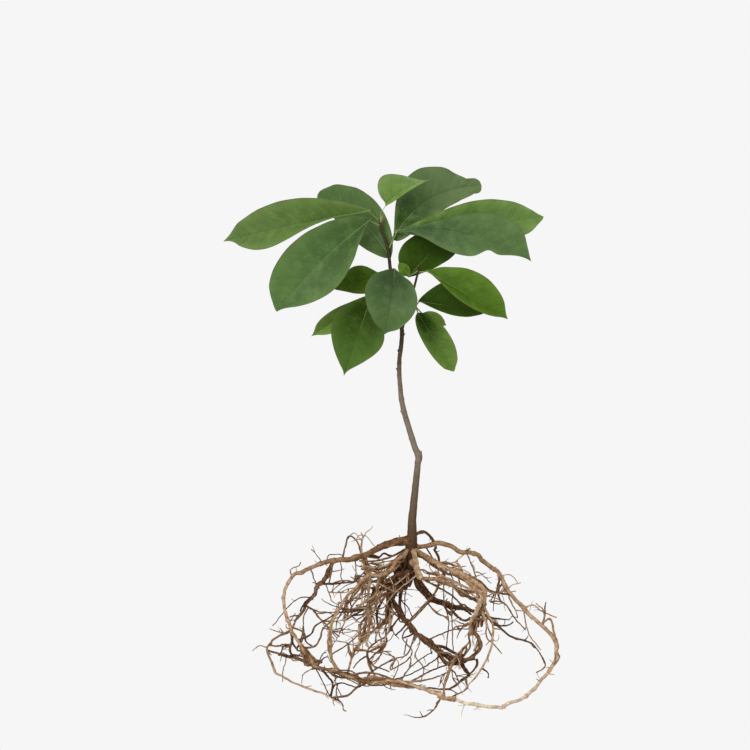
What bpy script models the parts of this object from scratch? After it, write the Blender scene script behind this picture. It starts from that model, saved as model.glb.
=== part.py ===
"""A bare-root sapling of about two seasons' growth, laid down on a flat bench.

Frame: metres, +Z up. The bench is z = 0. The stem lies along +Y, with its roots towards -Y,
and it is held clear of the bench by its springy roots at one end and its leaves at the other.
All sizes below are millimetres, measured from the root collar: x to the side, y along the stem,
and h for height above the bench.
"""

import math
import random

import bmesh
import bpy
from mathutils import Vector, noise

MM = 0.001

# Driving dimensions
GAP = 0.3  # clearance between parts that touch
LIMB_STEP = 13.0  # ring spacing along a limb
LIMB_SIDES = 6
STEM_SIDES = 8
FIBRE_SIDES = 4
WOBBLE = 2.4  # how far a root strays from its smooth course
WOBBLE_WAVE = 26.0
KNOB = 0.10  # share by which a root's thickness varies along it
LEAF_THICKNESS_SHARE = 0.0108  # blade thickness over blade length
LEAF_ROWS = 12
LEAF_COLUMNS = 4
LEAF_END_WIDTH = 2.4  # blade width left at its foot and at its drip tip
DRIP = 0.38  # share by which a blade narrows into its drip tip
DIP_WIDTH = 0.06  # of a dip in a blade's margin, as a share of its length
LEAF_FLAT_WIDTH = 9.0  # half-width below which a blade's fold flattens out
PETIOLE_THICKNESS = 2.2
PETIOLE_SINK = 0.14  # share of the blade that the leaf stalk runs into

# Course and thickness of the stem: (x, y, h, thickness)
STEM = [
    (-2, -40, 70, 7.0),
    (-1, -22, 73, 12.0),
    (-1, -6, 75, 15.0),
    (0, 8, 75, 12.5),
    (0, 24, 75, 10.6),
    (4, 64, 74, 8.6),
    (7.5, 98, 73, 8.0),
    (8.5, 106, 73, 9.2),
    (4, 116, 73.5, 7.6),
    (-10.5, 164, 75, 6.9),
    (-14.5, 190, 76, 6.0),
    (-16, 222, 76, 5.6),
    (-12.5, 262, 76, 5.4),
    (-18, 296, 76, 5.0),
    (-25, 330, 75, 4.4),
    (-27.5, 343, 75, 4.2),
]
SIDE_SHOOT = [
    (-12.5, 264, 76, 3.6),
    (-7, 284, 76, 3.2),
    (-1, 302, 77, 3.0),
    (3, 318, 78, 2.9),
    (6.5, 332, 78, 2.8),
]


def root(on, start, end, *course):
    """What a root grows from, its thickness where it starts and ends, and its course."""
    return {"on": on, "start": start, "end": end, "course": course}


# Main roots, each one tapering limb. A root that bends round a gap goes on as a second limb.
ROOTS = {
    "root_left": root(
        "stem", 10.5, 5.2, (-2, 1, 76), (-27, -3, 80), (-63, -17, 86), (-102, -25, 91), (-147, -40, 94)
    ),
    "root_left_edge": root(
        "root_left", 5.0, 4.4, (-148, -41, 94), (-159, -66, 98), (-154, -95, 103), (-140, -127, 110),
        (-121, -152, 118)
    ),
    "root_front": root(
        "root_left_edge", 5.0, 5.6, (-121, -153, 118), (-98, -159, 124), (-63, -169, 131), (-18, -172, 135),
        (37, -187, 133)
    ),
    "root_stray": root(
        "root_front", 2.8, 1.8, (35, -190, 131), (26, -205, 124), (6, -217, 114), (-11, -214, 108)
    ),
    "root_right": root(
        "stem", 7.2, 5.2, (0, -2, 74), (24, -4, 75), (82, -17, 74), (107, -41, 73), (129, -72, 74),
        (174, -119, 86)
    ),
    "root_right_ring": root(
        "root_right", 5.2, 4.4, (174, -119, 86), (180, -141, 93), (167, -164, 103), (143, -188, 113),
        (110, -203, 121), (74, -199, 127), (43, -190, 131)
    ),
    "root_bent": root(
        "stem", 7.5, 6.2, (2, -9, 77), (24, -21, 90), (51, -35, 101), (80, -50, 112), (91, -60, 114)
    ),
    "root_bent_down": root(
        "root_bent", 5.8, 4.4, (91, -62, 113), (89, -80, 106), (77, -106, 92), (85, -132, 74), (70, -150, 58),
        (55, -152, 50)
    ),
    "root_right_drop": root(
        "root_bent_down", 3.6, 2.6, (89, -80, 106), (98, -98, 104), (98, -119, 104), (91, -145, 110),
        (61, -186, 122)
    ),
    "root_middle": root("stem", 8.4, 7.0, (-1, -22, 76), (6, -36, 90), (11, -46, 98)),
    "root_middle_right": root(
        "root_middle", 6.4, 4.4, (11, -45, 98), (30, -47, 99), (54, -57, 98), (84, -77, 92)
    ),
    "root_right_thin": root(
        "stem", 4.4, 2.6, (3, -10, 70), (27, -32, 60), (55, -46, 54), (85, -60, 50), (121, -69, 46)
    ),
    "root_hook": root(
        "stem", 4.4, 2.6, (0, 6, 73), (14, 10, 64), (24, 2, 54), (31, -14, 44), (40, -42, 26), (56, -62, 0)
    ),
    "root_back_right": root(
        "stem", 7.2, 4.0, (1, -26, 70), (13, -64, 44), (37, -80, 30), (68, -89, 16), (95, -98, 8),
        (126, -103, 4)
    ),
    "root_back_far": root(
        "root_back_right", 3.6, 2.4, (94, -100, 9), (114, -114, 7), (132, -126, 4), (156, -137, 0),
        (169, -160, 0)
    ),
    "root_tap": root(
        "stem", 8.4, 4.8, (-3, -37, 70), (-24, -58, 63), (-17, -89, 56), (7, -117, 47), (37, -142, 41),
        (55, -150, 39)
    ),
    "root_left_front": root("stem", 6.2, 4.8, (-4, -8, 78), (-19, -24, 93), (-32, -40, 101), (-54, -40, 104)),
    "root_left_drop": root(
        "root_left_front", 4.4, 2.6, (-54, -40, 104), (-83, -68, 106), (-98, -98, 110), (-105, -124, 113),
        (-99, -146, 110), (-92, -183, 104)
    ),
    "root_left_inner": root(
        "root_left", 6.2, 3.8, (-98, -25, 90), (-106, -42, 70), (-128, -75, 40), (-147, -107, 8),
        (-153, -124, 0)
    ),
    "root_left_low": root(
        "root_left_inner", 3.6, 2.4, (-150, -117, 3), (-168, -125, 14), (-183, -139, 22), (-173, -163, 40),
        (-150, -178, 58), (-99, -197, 80), (-84, -211, 86)
    ),
    "root_wave": root(
        "root_left_low", 3.4, 2.2, (-182, -140, 24), (-160, -148, 34), (-141, -149, 44), (-117, -159, 56),
        (-90, -168, 62)
    ),
    "root_back_left": root(
        "stem", 6.6, 3.4, (-4, -14, 68), (-15, -20, 60), (-32, -43, 44), (-50, -73, 28), (-58, -103, 12),
        (-65, -132, 2), (-75, -150, 0), (-82, -170, 0)
    ),
    "root_back_middle": root(
        "stem", 5.6, 3.2, (1, -18, 70), (-10, -45, 46), (-16, -74, 24), (-9, -101, 6), (6, -122, 0),
        (25, -139, 0), (41, -152, 0)
    ),
}

# Masses of fine roots: what each grows from and where, which way, how far it reaches and how it branches
FIBRES = {
    "fibres_heart": {
        "on": "root_left_front", "from": (-40, -42, 103), "towards": (-0.1, -1.0, -0.6), "reach": 78,
        "twigs": 16
    },
    "fibres_left": {
        "on": "root_left_drop", "from": (-80, -64, 106), "towards": (0.1, -1.0, -0.9), "reach": 62,
        "twigs": 11
    },
    "fibres_top": {
        "on": "root_left", "from": (-62, -17, 86), "towards": (-0.3, 1.0, -0.3), "reach": 30, "twigs": 3
    },
    "fibres_low_left": {
        "on": "root_left_inner", "from": (-133, -84, 32), "towards": (0.6, -0.7, 0.4), "reach": 66,
        "twigs": 10
    },
    "fibres_bend": {
        "on": "root_bent_down", "from": (84, -94, 99), "towards": (-1.0, -0.35, -0.35), "reach": 44,
        "twigs": 9
    },
    "fibres_knot": {
        "on": "root_tap", "from": (30, -137, 42), "towards": (0.5, -0.75, 1.0), "reach": 60, "twigs": 10
    },
    "fibres_right": {
        "on": "root_right", "from": (114, -44, 73), "towards": (0.1, -1.0, -0.65), "reach": 60, "twigs": 10
    },
    "fibres_ring": {
        "on": "root_right", "from": (163, -104, 83), "towards": (0.15, 1.0, 0.1), "reach": 34, "twigs": 3
    },
    "fibres_back": {
        "on": "root_back_left", "from": (-34, -46, 42), "towards": (0.3, -1.0, 0.2), "reach": 74, "twigs": 11
    },
    "fibres_tap": {
        "on": "root_tap", "from": (-18, -88, 56), "towards": (-0.7, -0.9, 0.3), "reach": 62, "twigs": 11
    },
}
FIBRE_THICKNESS = 2.4
FIBRE_STEP = 10.5
FIBRE_TURN = 0.42  # how sharply a fibre wanders at each step
FIBRE_TRIES = 16  # headings it tries before it stops short of what is in its way
TWIG_SHARE = 0.52  # a twig's length over its stem's
FIBRE_CLEARANCE = 1.2

# Leaf shoots: what each mass of leaves grows from, and the twig that carries it, (x, y, h, thickness)
SHOOTS = {
    "leaves_top": (
        "stem",
        [
            (-27.5, 343, 75, 4.1), (-30, 365, 75, 3.9), (-34, 377, 76, 3.7), (-39, 391, 77, 3.5),
            (-40, 402, 77, 3.2), (-38, 414, 78, 1.4),
        ],
    ),
    "leaves_side": ("side_shoot", [(6.5, 332, 78, 2.8), (8, 337, 79, 2.6), (9, 343, 80, 1.8)]),
    "leaves_front": ("stem", [(-24.5, 328, 75.5, 3.6), (-25, 330, 82, 3.4), (-25, 333, 89, 2.6)]),
    "leaves_lower_left": ("stem", [(-19.5, 304, 76, 3.6), (-20, 305, 83, 3.4), (-22, 307, 90, 2.6)]),
    "leaves_lower_right": ("side_shoot", [(-3, 297, 77, 2.8), (1, 295, 77, 2.8), (6, 292, 77, 2.2)]),
}


def half(reach, lift, widest, full=0.76, dip=None):
    """Half a blade: its reach aside, how far its margin rises, and where along the rib it is widest.

    A higher full is more pointed at both ends. A dip in its margin is a place along the rib and a depth.
    """
    return {"reach": reach, "lift": lift, "widest": widest, "full": full, "dip": dip}


def leaf(mass, foot, base, tip, bow, left, right, blunt=0.0):
    """A leaf: its stalk's foot, its blade's two ends, the rib's bow to the right and up, its two halves, and
    how wide its tip is where that is rounded."""
    return {
        "mass": mass,
        "foot": foot,
        "base": base,
        "tip": tip,
        "bow": bow,
        "left": left,
        "right": right,
        "blunt": blunt,
    }


LEAVES = [
    leaf(
        "leaves_top", (-40, 400, 77), (-52, 413, 81), (-235, 374, 86), (1, 16), half(22, 26, 0.72, 1.7),
        half(32, 16, 0.55, 0.78)
    ),
    leaf(
        "leaves_top", (-39.5, 394, 77), (-51, 402, 84), (-168, 286, 108), (5, 20), half(36, 14, 0.56, 1.1),
        half(41, 16, 0.59, 0.54)
    ),
    leaf(
        "leaves_top", (-28, 350, 75), (-27, 354, 71), (-119, 437, 3), (10, 14), half(24, 10, 0.4, 0.85),
        half(31, 10, 0.54, 0.64), 8.0
    ),
    leaf(
        "leaves_top", (-39, 410, 77), (-33, 420, 82), (22, 449, 108), (-9, 8), half(25, 12, 0.37, 3.0),
        half(11, 8, 0.5, 0.96)
    ),
    leaf(
        "leaves_top", (-30, 362, 75), (-25, 377, 73), (89, 448, 3), (-18, 20), half(40, 8, 0.5, 1.55),
        half(21, 10, 0.4, 0.5), 10.0
    ),
    leaf(
        "leaves_top", (-30, 363, 75), (-22, 386, 76), (165, 406, 62), (3, 14), half(31, 8, 0.59, 0.8),
        half(22, 8, 0.7, 0.51)
    ),
    leaf(
        "leaves_top", (-30, 364, 75), (-21, 388, 81), (148, 349, 96), (-14, 20), half(34, 12, 0.7, 0.92),
        half(27, 14, 0.5, 1.85, (0.69, 0.41))
    ),
    leaf(
        "leaves_side", (8, 336, 79), (-5, 330, 76), (56, 393, 24), (-1, 8), half(32, 6, 0.3, 0.8),
        half(23, 8, 0.63, 0.53)
    ),
    leaf(
        "leaves_side", (8, 336, 79), (18, 338, 82), (119, 277, 92), (0, 14), half(30, 12, 0.53, 0.83),
        half(12, 16, 0.57, 1.1)
    ),
    leaf(
        "leaves_side", (8, 338, 79), (-3, 331, 82), (-17, 347, 88), (0, 1), half(7, 2, 0.5), half(7, 2, 0.5)
    ),
    leaf(
        "leaves_front", (-25, 332, 87), (-22, 340, 98), (-34, 258, 126), (-2, 22), half(32, 9, 0.52, 0.94),
        half(34, 9, 0.43, 0.87)
    ),
    leaf(
        "leaves_front", (-25, 331, 84), (-34, 331, 79), (-104, 316, 48), (0, 5), half(17, 8, 0.28, 1.07),
        half(20, 8, 0.41, 1.65)
    ),
    leaf(
        "leaves_lower_left", (-22, 306, 88), (-50, 308, 91), (-85, 206, 100), (0, 10),
        half(33, 12, 0.5, 1.59), half(35, 12, 0.45, 1.14)
    ),
    leaf(
        "leaves_lower_left", (-20, 305, 83), (-46, 309, 82), (-126, 256, 66), (0, 6),
        half(15, 10, 0.52, 1.06), half(12, 14, 0.6, 0.84)
    ),
    leaf(
        "leaves_lower_right", (4, 293, 77), (8, 300, 75), (97, 286, 42), (0, 6), half(33, 5, 0.48, 0.86),
        half(11, 8, 0.53, 1.0)
    ),
    leaf(
        "leaves_lower_right", (5, 292, 77), (7, 285, 80), (52, 212, 92), (0, 10), half(19, 10, 0.53, 0.59),
        half(14, 14, 0.51, 0.53)
    ),
    leaf(
        "leaves_lower_right", (5, 292, 77), (13, 284, 75), (43, 270, 62),
        (0, 2), half(9, 2, 0.45), half(9, 2, 0.5)
    ),
]

COLOURS = {
    "bark": ((0.20, 0.15, 0.11, 1.0), 0.85),
    "root": ((0.36, 0.22, 0.12, 1.0), 0.88),
    "leaf": ((0.10, 0.20, 0.05, 1.0), 0.55),
}


def clear_scene():
    for old in list(bpy.data.objects):
        bpy.data.objects.remove(old)


def new_collection(name, shown=True):
    made = bpy.data.collections.new(name)
    bpy.context.scene.collection.children.link(made)
    made.hide_render = not shown
    return made


def new_material(name):
    colour, roughness = COLOURS[name]
    material = bpy.data.materials.new(name)
    material.use_nodes = True
    surface = material.node_tree.nodes["Principled BSDF"]
    surface.inputs["Base Color"].default_value = colour
    surface.inputs["Roughness"].default_value = roughness
    surface.inputs["Metallic"].default_value = 0.0
    return material


def smoothed(p, q, r, s, t):
    """A number that goes smoothly from q to r as t goes from 0 to 1, given the ones before and after them."""
    return 0.5 * (2 * q + (r - p) * t + (2 * p - 5 * q + 4 * r - s) * t**2 + (3 * q - p - 3 * r + s) * t**3)


def smooth_course(guides, step):
    """Points at even spacing on one smooth curve through the guides, whatever numbers each guide holds."""
    ends = [guides[0], *guides, guides[-1]]
    course = []
    for before, a, b, after in zip(ends, ends[1:], ends[2:], ends[3:]):
        span = (Vector(b[:3]) - Vector(a[:3])).length
        count = max(1, round(span / step))
        for i in range(count):
            course.append(tuple(smoothed(*numbers, i / count) for numbers in zip(before, a, b, after)))
    course.append(tuple(guides[-1]))
    return course


def drift_at(place, seed):
    """A smooth random step aside that depends only on the place and the seed."""
    spot = place / WOBBLE_WAVE + Vector((seed, 0, 0))
    return Vector([noise.noise(spot + Vector((0, 0, 7.3 * axis))) for axis in range(3)])


def wandering(course, thickness_at, seed):
    """(point, thickness) along a root: its course with a little wobble and knobs, never below the bench."""
    made = []
    last = len(course) - 1
    for i, point in enumerate(course):
        along = i / last
        place = Vector(point[:3])
        place += drift_at(place, seed) * WOBBLE * math.sin(math.pi * along)
        thickness = thickness_at(along) * (1 + KNOB * noise.noise(place / 9 + Vector((0, seed, 0))))
        place.z = max(place.z, thickness / 2)
        made.append((place, thickness))
    return made


def nearest_on(line, place):
    """The point on a limb's axis that lies nearest to a place."""
    return min((there for there, _ in fine_line(line, 1.0)), key=lambda there: (there - Vector(place)).length)


def root_line(name, carrier_line):
    spec = ROOTS[name]
    guides = [tuple(nearest_on(carrier_line, spec["course"][0])), *spec["course"][1:]]
    course = smooth_course(guides, LIMB_STEP)
    start, end = spec["start"], spec["end"]
    return wandering(course, lambda along: start + (end - start) * along, len(name) + start)


def stem_line(guides, step=LIMB_STEP):
    return [(Vector(p[:3]), p[3]) for p in smooth_course(guides, step)]


def tube(name, line, sides, spread=0.0):
    """A closed tube along a line of (point, thickness). Spread fattens it, and lengthens both its ends."""
    curve = bpy.data.curves.new(name, "CURVE")
    curve.dimensions = "3D"
    curve.bevel_depth = MM
    curve.bevel_resolution = (sides - 4) // 2
    curve.use_fill_caps = True
    spline = curve.splines.new("POLY")
    spline.points.add(len(line) - 1)
    for point, (place, thickness) in zip(spline.points, line):
        point.co = (*(place * MM), 1.0)
        point.radius = thickness / 2 + spread
    if spread:
        first, second, last, before = spline.points[0], spline.points[1], spline.points[-1], spline.points[-2]
        outward = (first.co - second.co).xyz.normalized() * spread * MM
        first.co = (*(first.co.xyz + outward), 1.0)
        outward = (last.co - before.co).xyz.normalized() * spread * MM
        last.co = (*(last.co.xyz + outward), 1.0)
    holder = bpy.data.objects.new(name, curve)
    bpy.context.scene.collection.objects.link(holder)
    bpy.context.view_layer.update()
    graph = bpy.context.evaluated_depsgraph_get()
    mesh = bpy.data.meshes.new_from_object(holder.evaluated_get(graph))
    bpy.data.objects.remove(holder)
    shape = bmesh.new()
    shape.from_mesh(mesh)
    bmesh.ops.remove_doubles(shape, verts=shape.verts, dist=MM * 0.01)
    bmesh.ops.recalc_face_normals(shape, faces=shape.faces)
    shape.to_mesh(mesh)
    shape.free()
    return bpy.data.objects.new(name, mesh)


def apply_modifiers(part):
    bpy.context.view_layer.update()
    graph = bpy.context.evaluated_depsgraph_get()
    finished = bpy.data.meshes.new_from_object(part.evaluated_get(graph))
    part.modifiers.clear()
    part.data = finished


def drop_scraps(mesh):
    """Keeps only the largest of a mesh's loose pieces."""
    shape = bmesh.new()
    shape.from_mesh(mesh)
    left, pieces = set(shape.verts), []
    while left:
        piece, edge = set(), [left.pop()]
        while edge:
            vertex = edge.pop()
            piece.add(vertex)
            near = {e.other_vert(vertex) for e in vertex.link_edges} & left
            left -= near
            edge += near
        pieces.append(piece)
    largest = max(pieces, key=len)
    bmesh.ops.delete(shape, geom=[v for v in shape.verts if v not in largest], context="VERTS")
    shape.to_mesh(mesh)
    shape.free()


def seated(part, carrier_line, sides):
    """The part with its buried foot cut away along its carrier's surface, a gap clear of it."""
    cutter = tube(part.name + "_seat", carrier_line, sides, spread=GAP)
    cutters = new_collection("cutters", shown=False)
    cutters.objects.link(cutter)
    cutter.hide_render = True
    cutter.display_type = "WIRE"
    bpy.context.scene.collection.objects.link(part)
    cut = part.modifiers.new("seat", "BOOLEAN")
    cut.operation = "DIFFERENCE"
    cut.object = cutter
    apply_modifiers(part)
    bpy.context.scene.collection.objects.unlink(part)
    bpy.data.objects.remove(cutter)
    bpy.data.collections.remove(cutters)
    drop_scraps(part.data)
    return part


def blade_outline(along, part, blunt):
    """Width over the widest width: a wedge foot, full past the middle, with a drip tip or a round one."""
    power = math.log(0.5) / math.log(part["widest"])
    body = max(0.0, math.sin(math.pi * along**power)) ** part["full"]
    if part["dip"]:
        where, depth = part["dip"]
        body *= 1 - depth * math.exp(-(((along - where) / DIP_WIDTH) ** 2))
    to_tip = min(1.0, max(0.0, (along - 0.86) / 0.14))
    return body if blunt else body * (1 - DRIP * to_tip * to_tip * (3 - 2 * to_tip))


def blunt_reach(spec, along):
    """How far the rounded end of a blunt leaf reaches aside here."""
    depth = spec["blunt"] / (Vector(spec["tip"]) - Vector(spec["base"])).length
    if along < 0.6 or not depth:
        return 0.0
    beyond = max(0.0, along - (1 - depth)) / depth
    return spec["blunt"] * math.sqrt(max(0.0, 1 - beyond * beyond))


def rib_frame(spec, along):
    """The rib's place at a share of its length, with the directions to its right and out of its face."""
    base, tip = Vector(spec["base"]), Vector(spec["tip"])
    straight = (tip - base).normalized()
    aside = straight.cross(Vector((0, 0, 1))).normalized()
    bow = aside * spec["bow"][0] + Vector((0, 0, spec["bow"][1]))
    control = (base + tip) / 2 + 2 * bow
    place = (1 - along) ** 2 * base + 2 * along * (1 - along) * control + along**2 * tip
    heading = ((1 - along) * (control - base) + along * (tip - control)).normalized()
    side = heading.cross(Vector((0, 0, 1))).normalized()
    return place, side, side.cross(heading)


def leaf_point(spec, along, across):
    """The place on a leaf's blade at a share along its rib and a share across it, -1 to 1."""
    place, side, face = rib_frame(spec, along)
    part = spec["right"] if across > 0 else spec["left"]
    share = blade_outline(along, part, spec["blunt"])
    reach = max(part["reach"] * share, LEAF_END_WIDTH / 2, blunt_reach(spec, along))
    lift = part["lift"] * max(0.0, share) * min(1.0, reach / LEAF_FLAT_WIDTH)
    place = place + side * across * reach + face * lift * abs(across) ** 1.2
    thickness = LEAF_THICKNESS_SHARE * (Vector(spec["tip"]) - Vector(spec["base"])).length
    place.z = max(place.z, thickness / 2)
    return place


def leaf_blade(name, spec):
    """The blade: a flat grid bent to its place and given its thickness."""
    shape = bmesh.new()
    bmesh.ops.create_grid(shape, x_segments=LEAF_COLUMNS, y_segments=LEAF_ROWS, size=1.0)
    for vertex in shape.verts:
        along = (vertex.co.y + 1) / 2
        vertex.co = leaf_point(spec, along, vertex.co.x) * MM
    bmesh.ops.recalc_face_normals(shape, faces=shape.faces)
    mesh = bpy.data.meshes.new(name)
    shape.to_mesh(mesh)
    shape.free()
    blade = bpy.data.objects.new(name, mesh)
    bpy.context.scene.collection.objects.link(blade)
    wall = blade.modifiers.new("blade", "SOLIDIFY")
    wall.thickness = LEAF_THICKNESS_SHARE * (Vector(spec["tip"]) - Vector(spec["base"])).length * MM
    wall.offset = 0.0
    apply_modifiers(blade)
    bpy.context.scene.collection.objects.unlink(blade)
    return blade


def leaf_stalk(name, spec):
    """The stalk, from inside its twig to a little way under the blade's rib."""
    inside = leaf_point(spec, PETIOLE_SINK, 0.0)
    base = leaf_point(spec, 0.02, 0.0)
    foot = Vector(spec["foot"])
    line = [(foot, PETIOLE_THICKNESS), (base, PETIOLE_THICKNESS), (inside, PETIOLE_THICKNESS * 0.9)]
    return tube(name, line, FIBRE_SIDES)


def fused(name, pieces):
    """One closed body from pieces that overlap, by a Boolean union on the collection that holds them."""
    group = new_collection(name + "_pieces", shown=False)
    body, others = pieces[0], pieces[1:]
    bpy.context.scene.collection.objects.link(body)
    for piece in others:
        group.objects.link(piece)
        piece.hide_render = True
    join = body.modifiers.new("fuse", "BOOLEAN")
    join.operation = "UNION"
    join.operand_type = "COLLECTION"
    join.collection = group
    join.solver = "MANIFOLD"
    apply_modifiers(body)
    for piece in others:
        bpy.data.objects.remove(piece)
    bpy.data.collections.remove(group)
    bpy.context.scene.collection.objects.unlink(body)
    body.name = name
    return body


def leaf_mass(name, carrier_line, sides):
    """One shoot's twig, seated on what it grows from, with its leaves fused on."""
    pieces = [seated(tube(name, stem_line(SHOOTS[name][1]), LIMB_SIDES), carrier_line, sides)]
    for number, spec in enumerate(s for s in LEAVES if s["mass"] == name):
        pieces.append(leaf_blade(f"{name}_blade_{number}", spec))
        pieces.append(leaf_stalk(f"{name}_stalk_{number}", spec))
    return fused(name, pieces)


class Keepout:
    """Balls along every limb laid so far, which a fibre may not come near."""

    def __init__(self):
        self.balls = []

    def add(self, owner, line):
        self.balls += [(owner, place, thickness / 2) for place, thickness in line]

    def free(self, place, radius, but=None):
        for owner, centre, size in self.balls:
            if owner != but and (centre - place).length < size + radius + FIBRE_CLEARANCE:
                return False
        return True


def fine_line(line, step=3.0):
    """The same line with points close enough together to stand for its whole surface."""
    made = []
    for (a, thick_a), (b, thick_b) in zip(line, line[1:]):
        count = max(1, math.ceil((b - a).length / step))
        made += [(a.lerp(b, i / count), thick_a + (thick_b - thick_a) * i / count) for i in range(count)]
    return [*made, line[-1]]


def wander(rng, start, heading, length, thickness, keepout, carrier):
    """A fibre that strays from its heading, turns from what is in its way, and stops if it can't."""
    place, heading = Vector(start), Vector(heading).normalized()
    line = [(place.copy(), thickness)]
    steps = max(2, round(length / FIBRE_STEP))
    for i in range(steps):
        size = thickness * (1 - 0.5 * (i + 1) / steps)
        for attempt in range(FIBRE_TRIES):
            stray = Vector((rng.uniform(-1, 1), rng.uniform(-1, 1), rng.uniform(-1, 1)))
            way = (heading + stray * FIBRE_TURN * (1 + attempt * 0.25)).normalized()
            reached = place + way * FIBRE_STEP
            reached.z = max(reached.z, size / 2)
            span = [place.lerp(reached, share) for share in (0.34, 0.67, 1.0)]
            if all(keepout.free(p, size / 2, carrier if i < 2 else None) for p in span):
                break
        else:
            break
        place, heading = reached, way
        line.append((place.copy(), size))
    return line


def fibre_mass(name, seed, keepout, carrier_line):
    """A stem of fine root with twigs that branch off it by a seeded rule, fused in one body."""
    spec = FIBRES[name]
    rng = random.Random(seed)
    stem = wander(rng, spec["from"], spec["towards"], spec["reach"], FIBRE_THICKNESS, keepout, spec["on"])
    lines = [stem]
    for number in range(spec["twigs"]):
        parent = lines[0] if number < spec["twigs"] * 0.6 else rng.choice(lines)
        if len(parent) < 3:
            continue
        joint = rng.randrange(1, len(parent) - 1) if len(parent) > 3 else 1
        start, thickness = parent[joint]
        way = (parent[joint + 1][0] - parent[joint - 1][0]).normalized()
        aside = way.cross(Vector((rng.uniform(-1, 1), rng.uniform(-1, 1), rng.uniform(-1, 1)))).normalized()
        length = spec["reach"] * TWIG_SHARE * rng.uniform(0.6, 1.1)
        twig = wander(rng, start, way * 0.7 + aside, length, thickness * 0.85, keepout, None)
        if len(twig) > 2:
            lines.append(twig)
    pieces = [tube(f"{name}_{i}", line, FIBRE_SIDES) for i, line in enumerate(lines)]
    pieces[0] = seated(pieces[0], carrier_line, LIMB_SIDES)
    for line in lines:
        keepout.add(name, fine_line(line))
    return fused(name, pieces)


def rest_over_origin(parts, holder):
    """Moves the whole plant so that the bottom centre of its box is the origin."""
    corners = [vertex.co for part in parts for vertex in part.data.vertices]
    low = Vector([min(c[axis] for c in corners) for axis in range(3)])
    high = Vector([max(c[axis] for c in corners) for axis in range(3)])
    holder.location = (-(low.x + high.x) / 2, -(low.y + high.y) / 2, -low.z)


def main():
    clear_scene()
    plant = new_collection("bare_root_sapling")
    holder = bpy.data.objects.new("sapling", None)
    plant.objects.link(holder)
    bark, earth, green = (new_material(name) for name in ("bark", "root", "leaf"))
    parts = []

    def finish(part, material):
        plant.objects.link(part)
        part.parent = holder
        part.data.materials.clear()
        part.data.materials.append(material)
        part.data.shade_smooth()
        part.data.set_sharp_from_angle(angle=math.radians(50))
        parts.append(part)

    lines = {"stem": stem_line(STEM), "side_shoot": stem_line(SIDE_SHOOT)}
    for name, spec in ROOTS.items():
        lines[name] = root_line(name, lines[spec["on"]])
    sides = dict.fromkeys(lines, LIMB_SIDES)
    sides["stem"] = STEM_SIDES
    keepout = Keepout()
    for name, line in lines.items():
        keepout.add(name, fine_line(line))

    finish(tube("stem", lines["stem"], STEM_SIDES), bark)
    finish(seated(tube("side_shoot", lines["side_shoot"], LIMB_SIDES), lines["stem"], STEM_SIDES), bark)
    for name, spec in ROOTS.items():
        limb = tube(name, lines[name], LIMB_SIDES)
        finish(seated(limb, lines[spec["on"]], sides[spec["on"]]), earth)
    for name, (carrier, _) in SHOOTS.items():
        finish(leaf_mass(name, lines[carrier], sides[carrier]), green)
    for seed, (name, spec) in enumerate(FIBRES.items(), start=3):
        finish(fibre_mass(name, seed, keepout, lines[spec["on"]]), earth)
    rest_over_origin(parts, holder)


main()
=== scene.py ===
# %% [markdown]
# # A bare-root sapling, laid down on a pale bench
#
# A nursery lifts a young tree while it is small, washes the soil from its roots and lays it down to
# look it over. The solids loaded here are its plain stand-ins: faceted limbs and smooth leaf blades.
# Each one is replaced by a finer mesh on the same course, so that it keeps its place and its size.

# %% Load the solids
import math
import random

import bpy
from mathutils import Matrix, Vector, kdtree, noise


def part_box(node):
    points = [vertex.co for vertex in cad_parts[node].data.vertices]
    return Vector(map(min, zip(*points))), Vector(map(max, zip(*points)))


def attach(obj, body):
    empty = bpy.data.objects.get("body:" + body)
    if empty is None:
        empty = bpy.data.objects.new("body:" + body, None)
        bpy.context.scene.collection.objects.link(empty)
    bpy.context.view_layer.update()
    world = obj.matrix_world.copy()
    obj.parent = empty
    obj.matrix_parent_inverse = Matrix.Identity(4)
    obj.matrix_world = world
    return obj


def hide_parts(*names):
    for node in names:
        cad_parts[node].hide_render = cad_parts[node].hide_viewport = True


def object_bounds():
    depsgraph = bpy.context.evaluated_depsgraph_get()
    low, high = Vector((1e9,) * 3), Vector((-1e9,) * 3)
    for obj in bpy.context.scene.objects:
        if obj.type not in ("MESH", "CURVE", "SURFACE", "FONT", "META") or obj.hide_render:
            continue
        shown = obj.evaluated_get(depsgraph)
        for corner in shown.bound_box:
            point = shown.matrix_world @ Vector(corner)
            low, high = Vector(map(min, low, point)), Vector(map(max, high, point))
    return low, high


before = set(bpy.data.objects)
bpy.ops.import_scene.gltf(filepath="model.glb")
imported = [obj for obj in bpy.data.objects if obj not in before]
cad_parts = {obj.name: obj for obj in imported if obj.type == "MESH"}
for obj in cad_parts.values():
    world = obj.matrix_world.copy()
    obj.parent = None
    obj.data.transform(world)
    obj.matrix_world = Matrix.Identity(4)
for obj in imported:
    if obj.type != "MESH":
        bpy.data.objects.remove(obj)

MM = 0.001
cad_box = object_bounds()
print(len(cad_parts), "solids, size in mm:", [round(s / MM) for s in cad_box[1] - cad_box[0]])

# %% [markdown]
# ## The course of each limb
#
# A limb is known by a few guide points: x to the side, y along the stem from the root collar, h above
# the bench, and often a thickness. One smooth curve goes through them. The same rule made the solids,
# so a limb drawn again from it lies where its solid does, and can have many more rings.

# %% A smooth curve through guide points
LIMB_STEP = 13.0


def smoothed(p, q, r, s, t):
    """A number that goes smoothly from q to r as t goes from 0 to 1, given the ones before and after them."""
    return 0.5 * (2 * q + (r - p) * t + (2 * p - 5 * q + 4 * r - s) * t**2 + (3 * q - p - 3 * r + s) * t**3)


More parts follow.
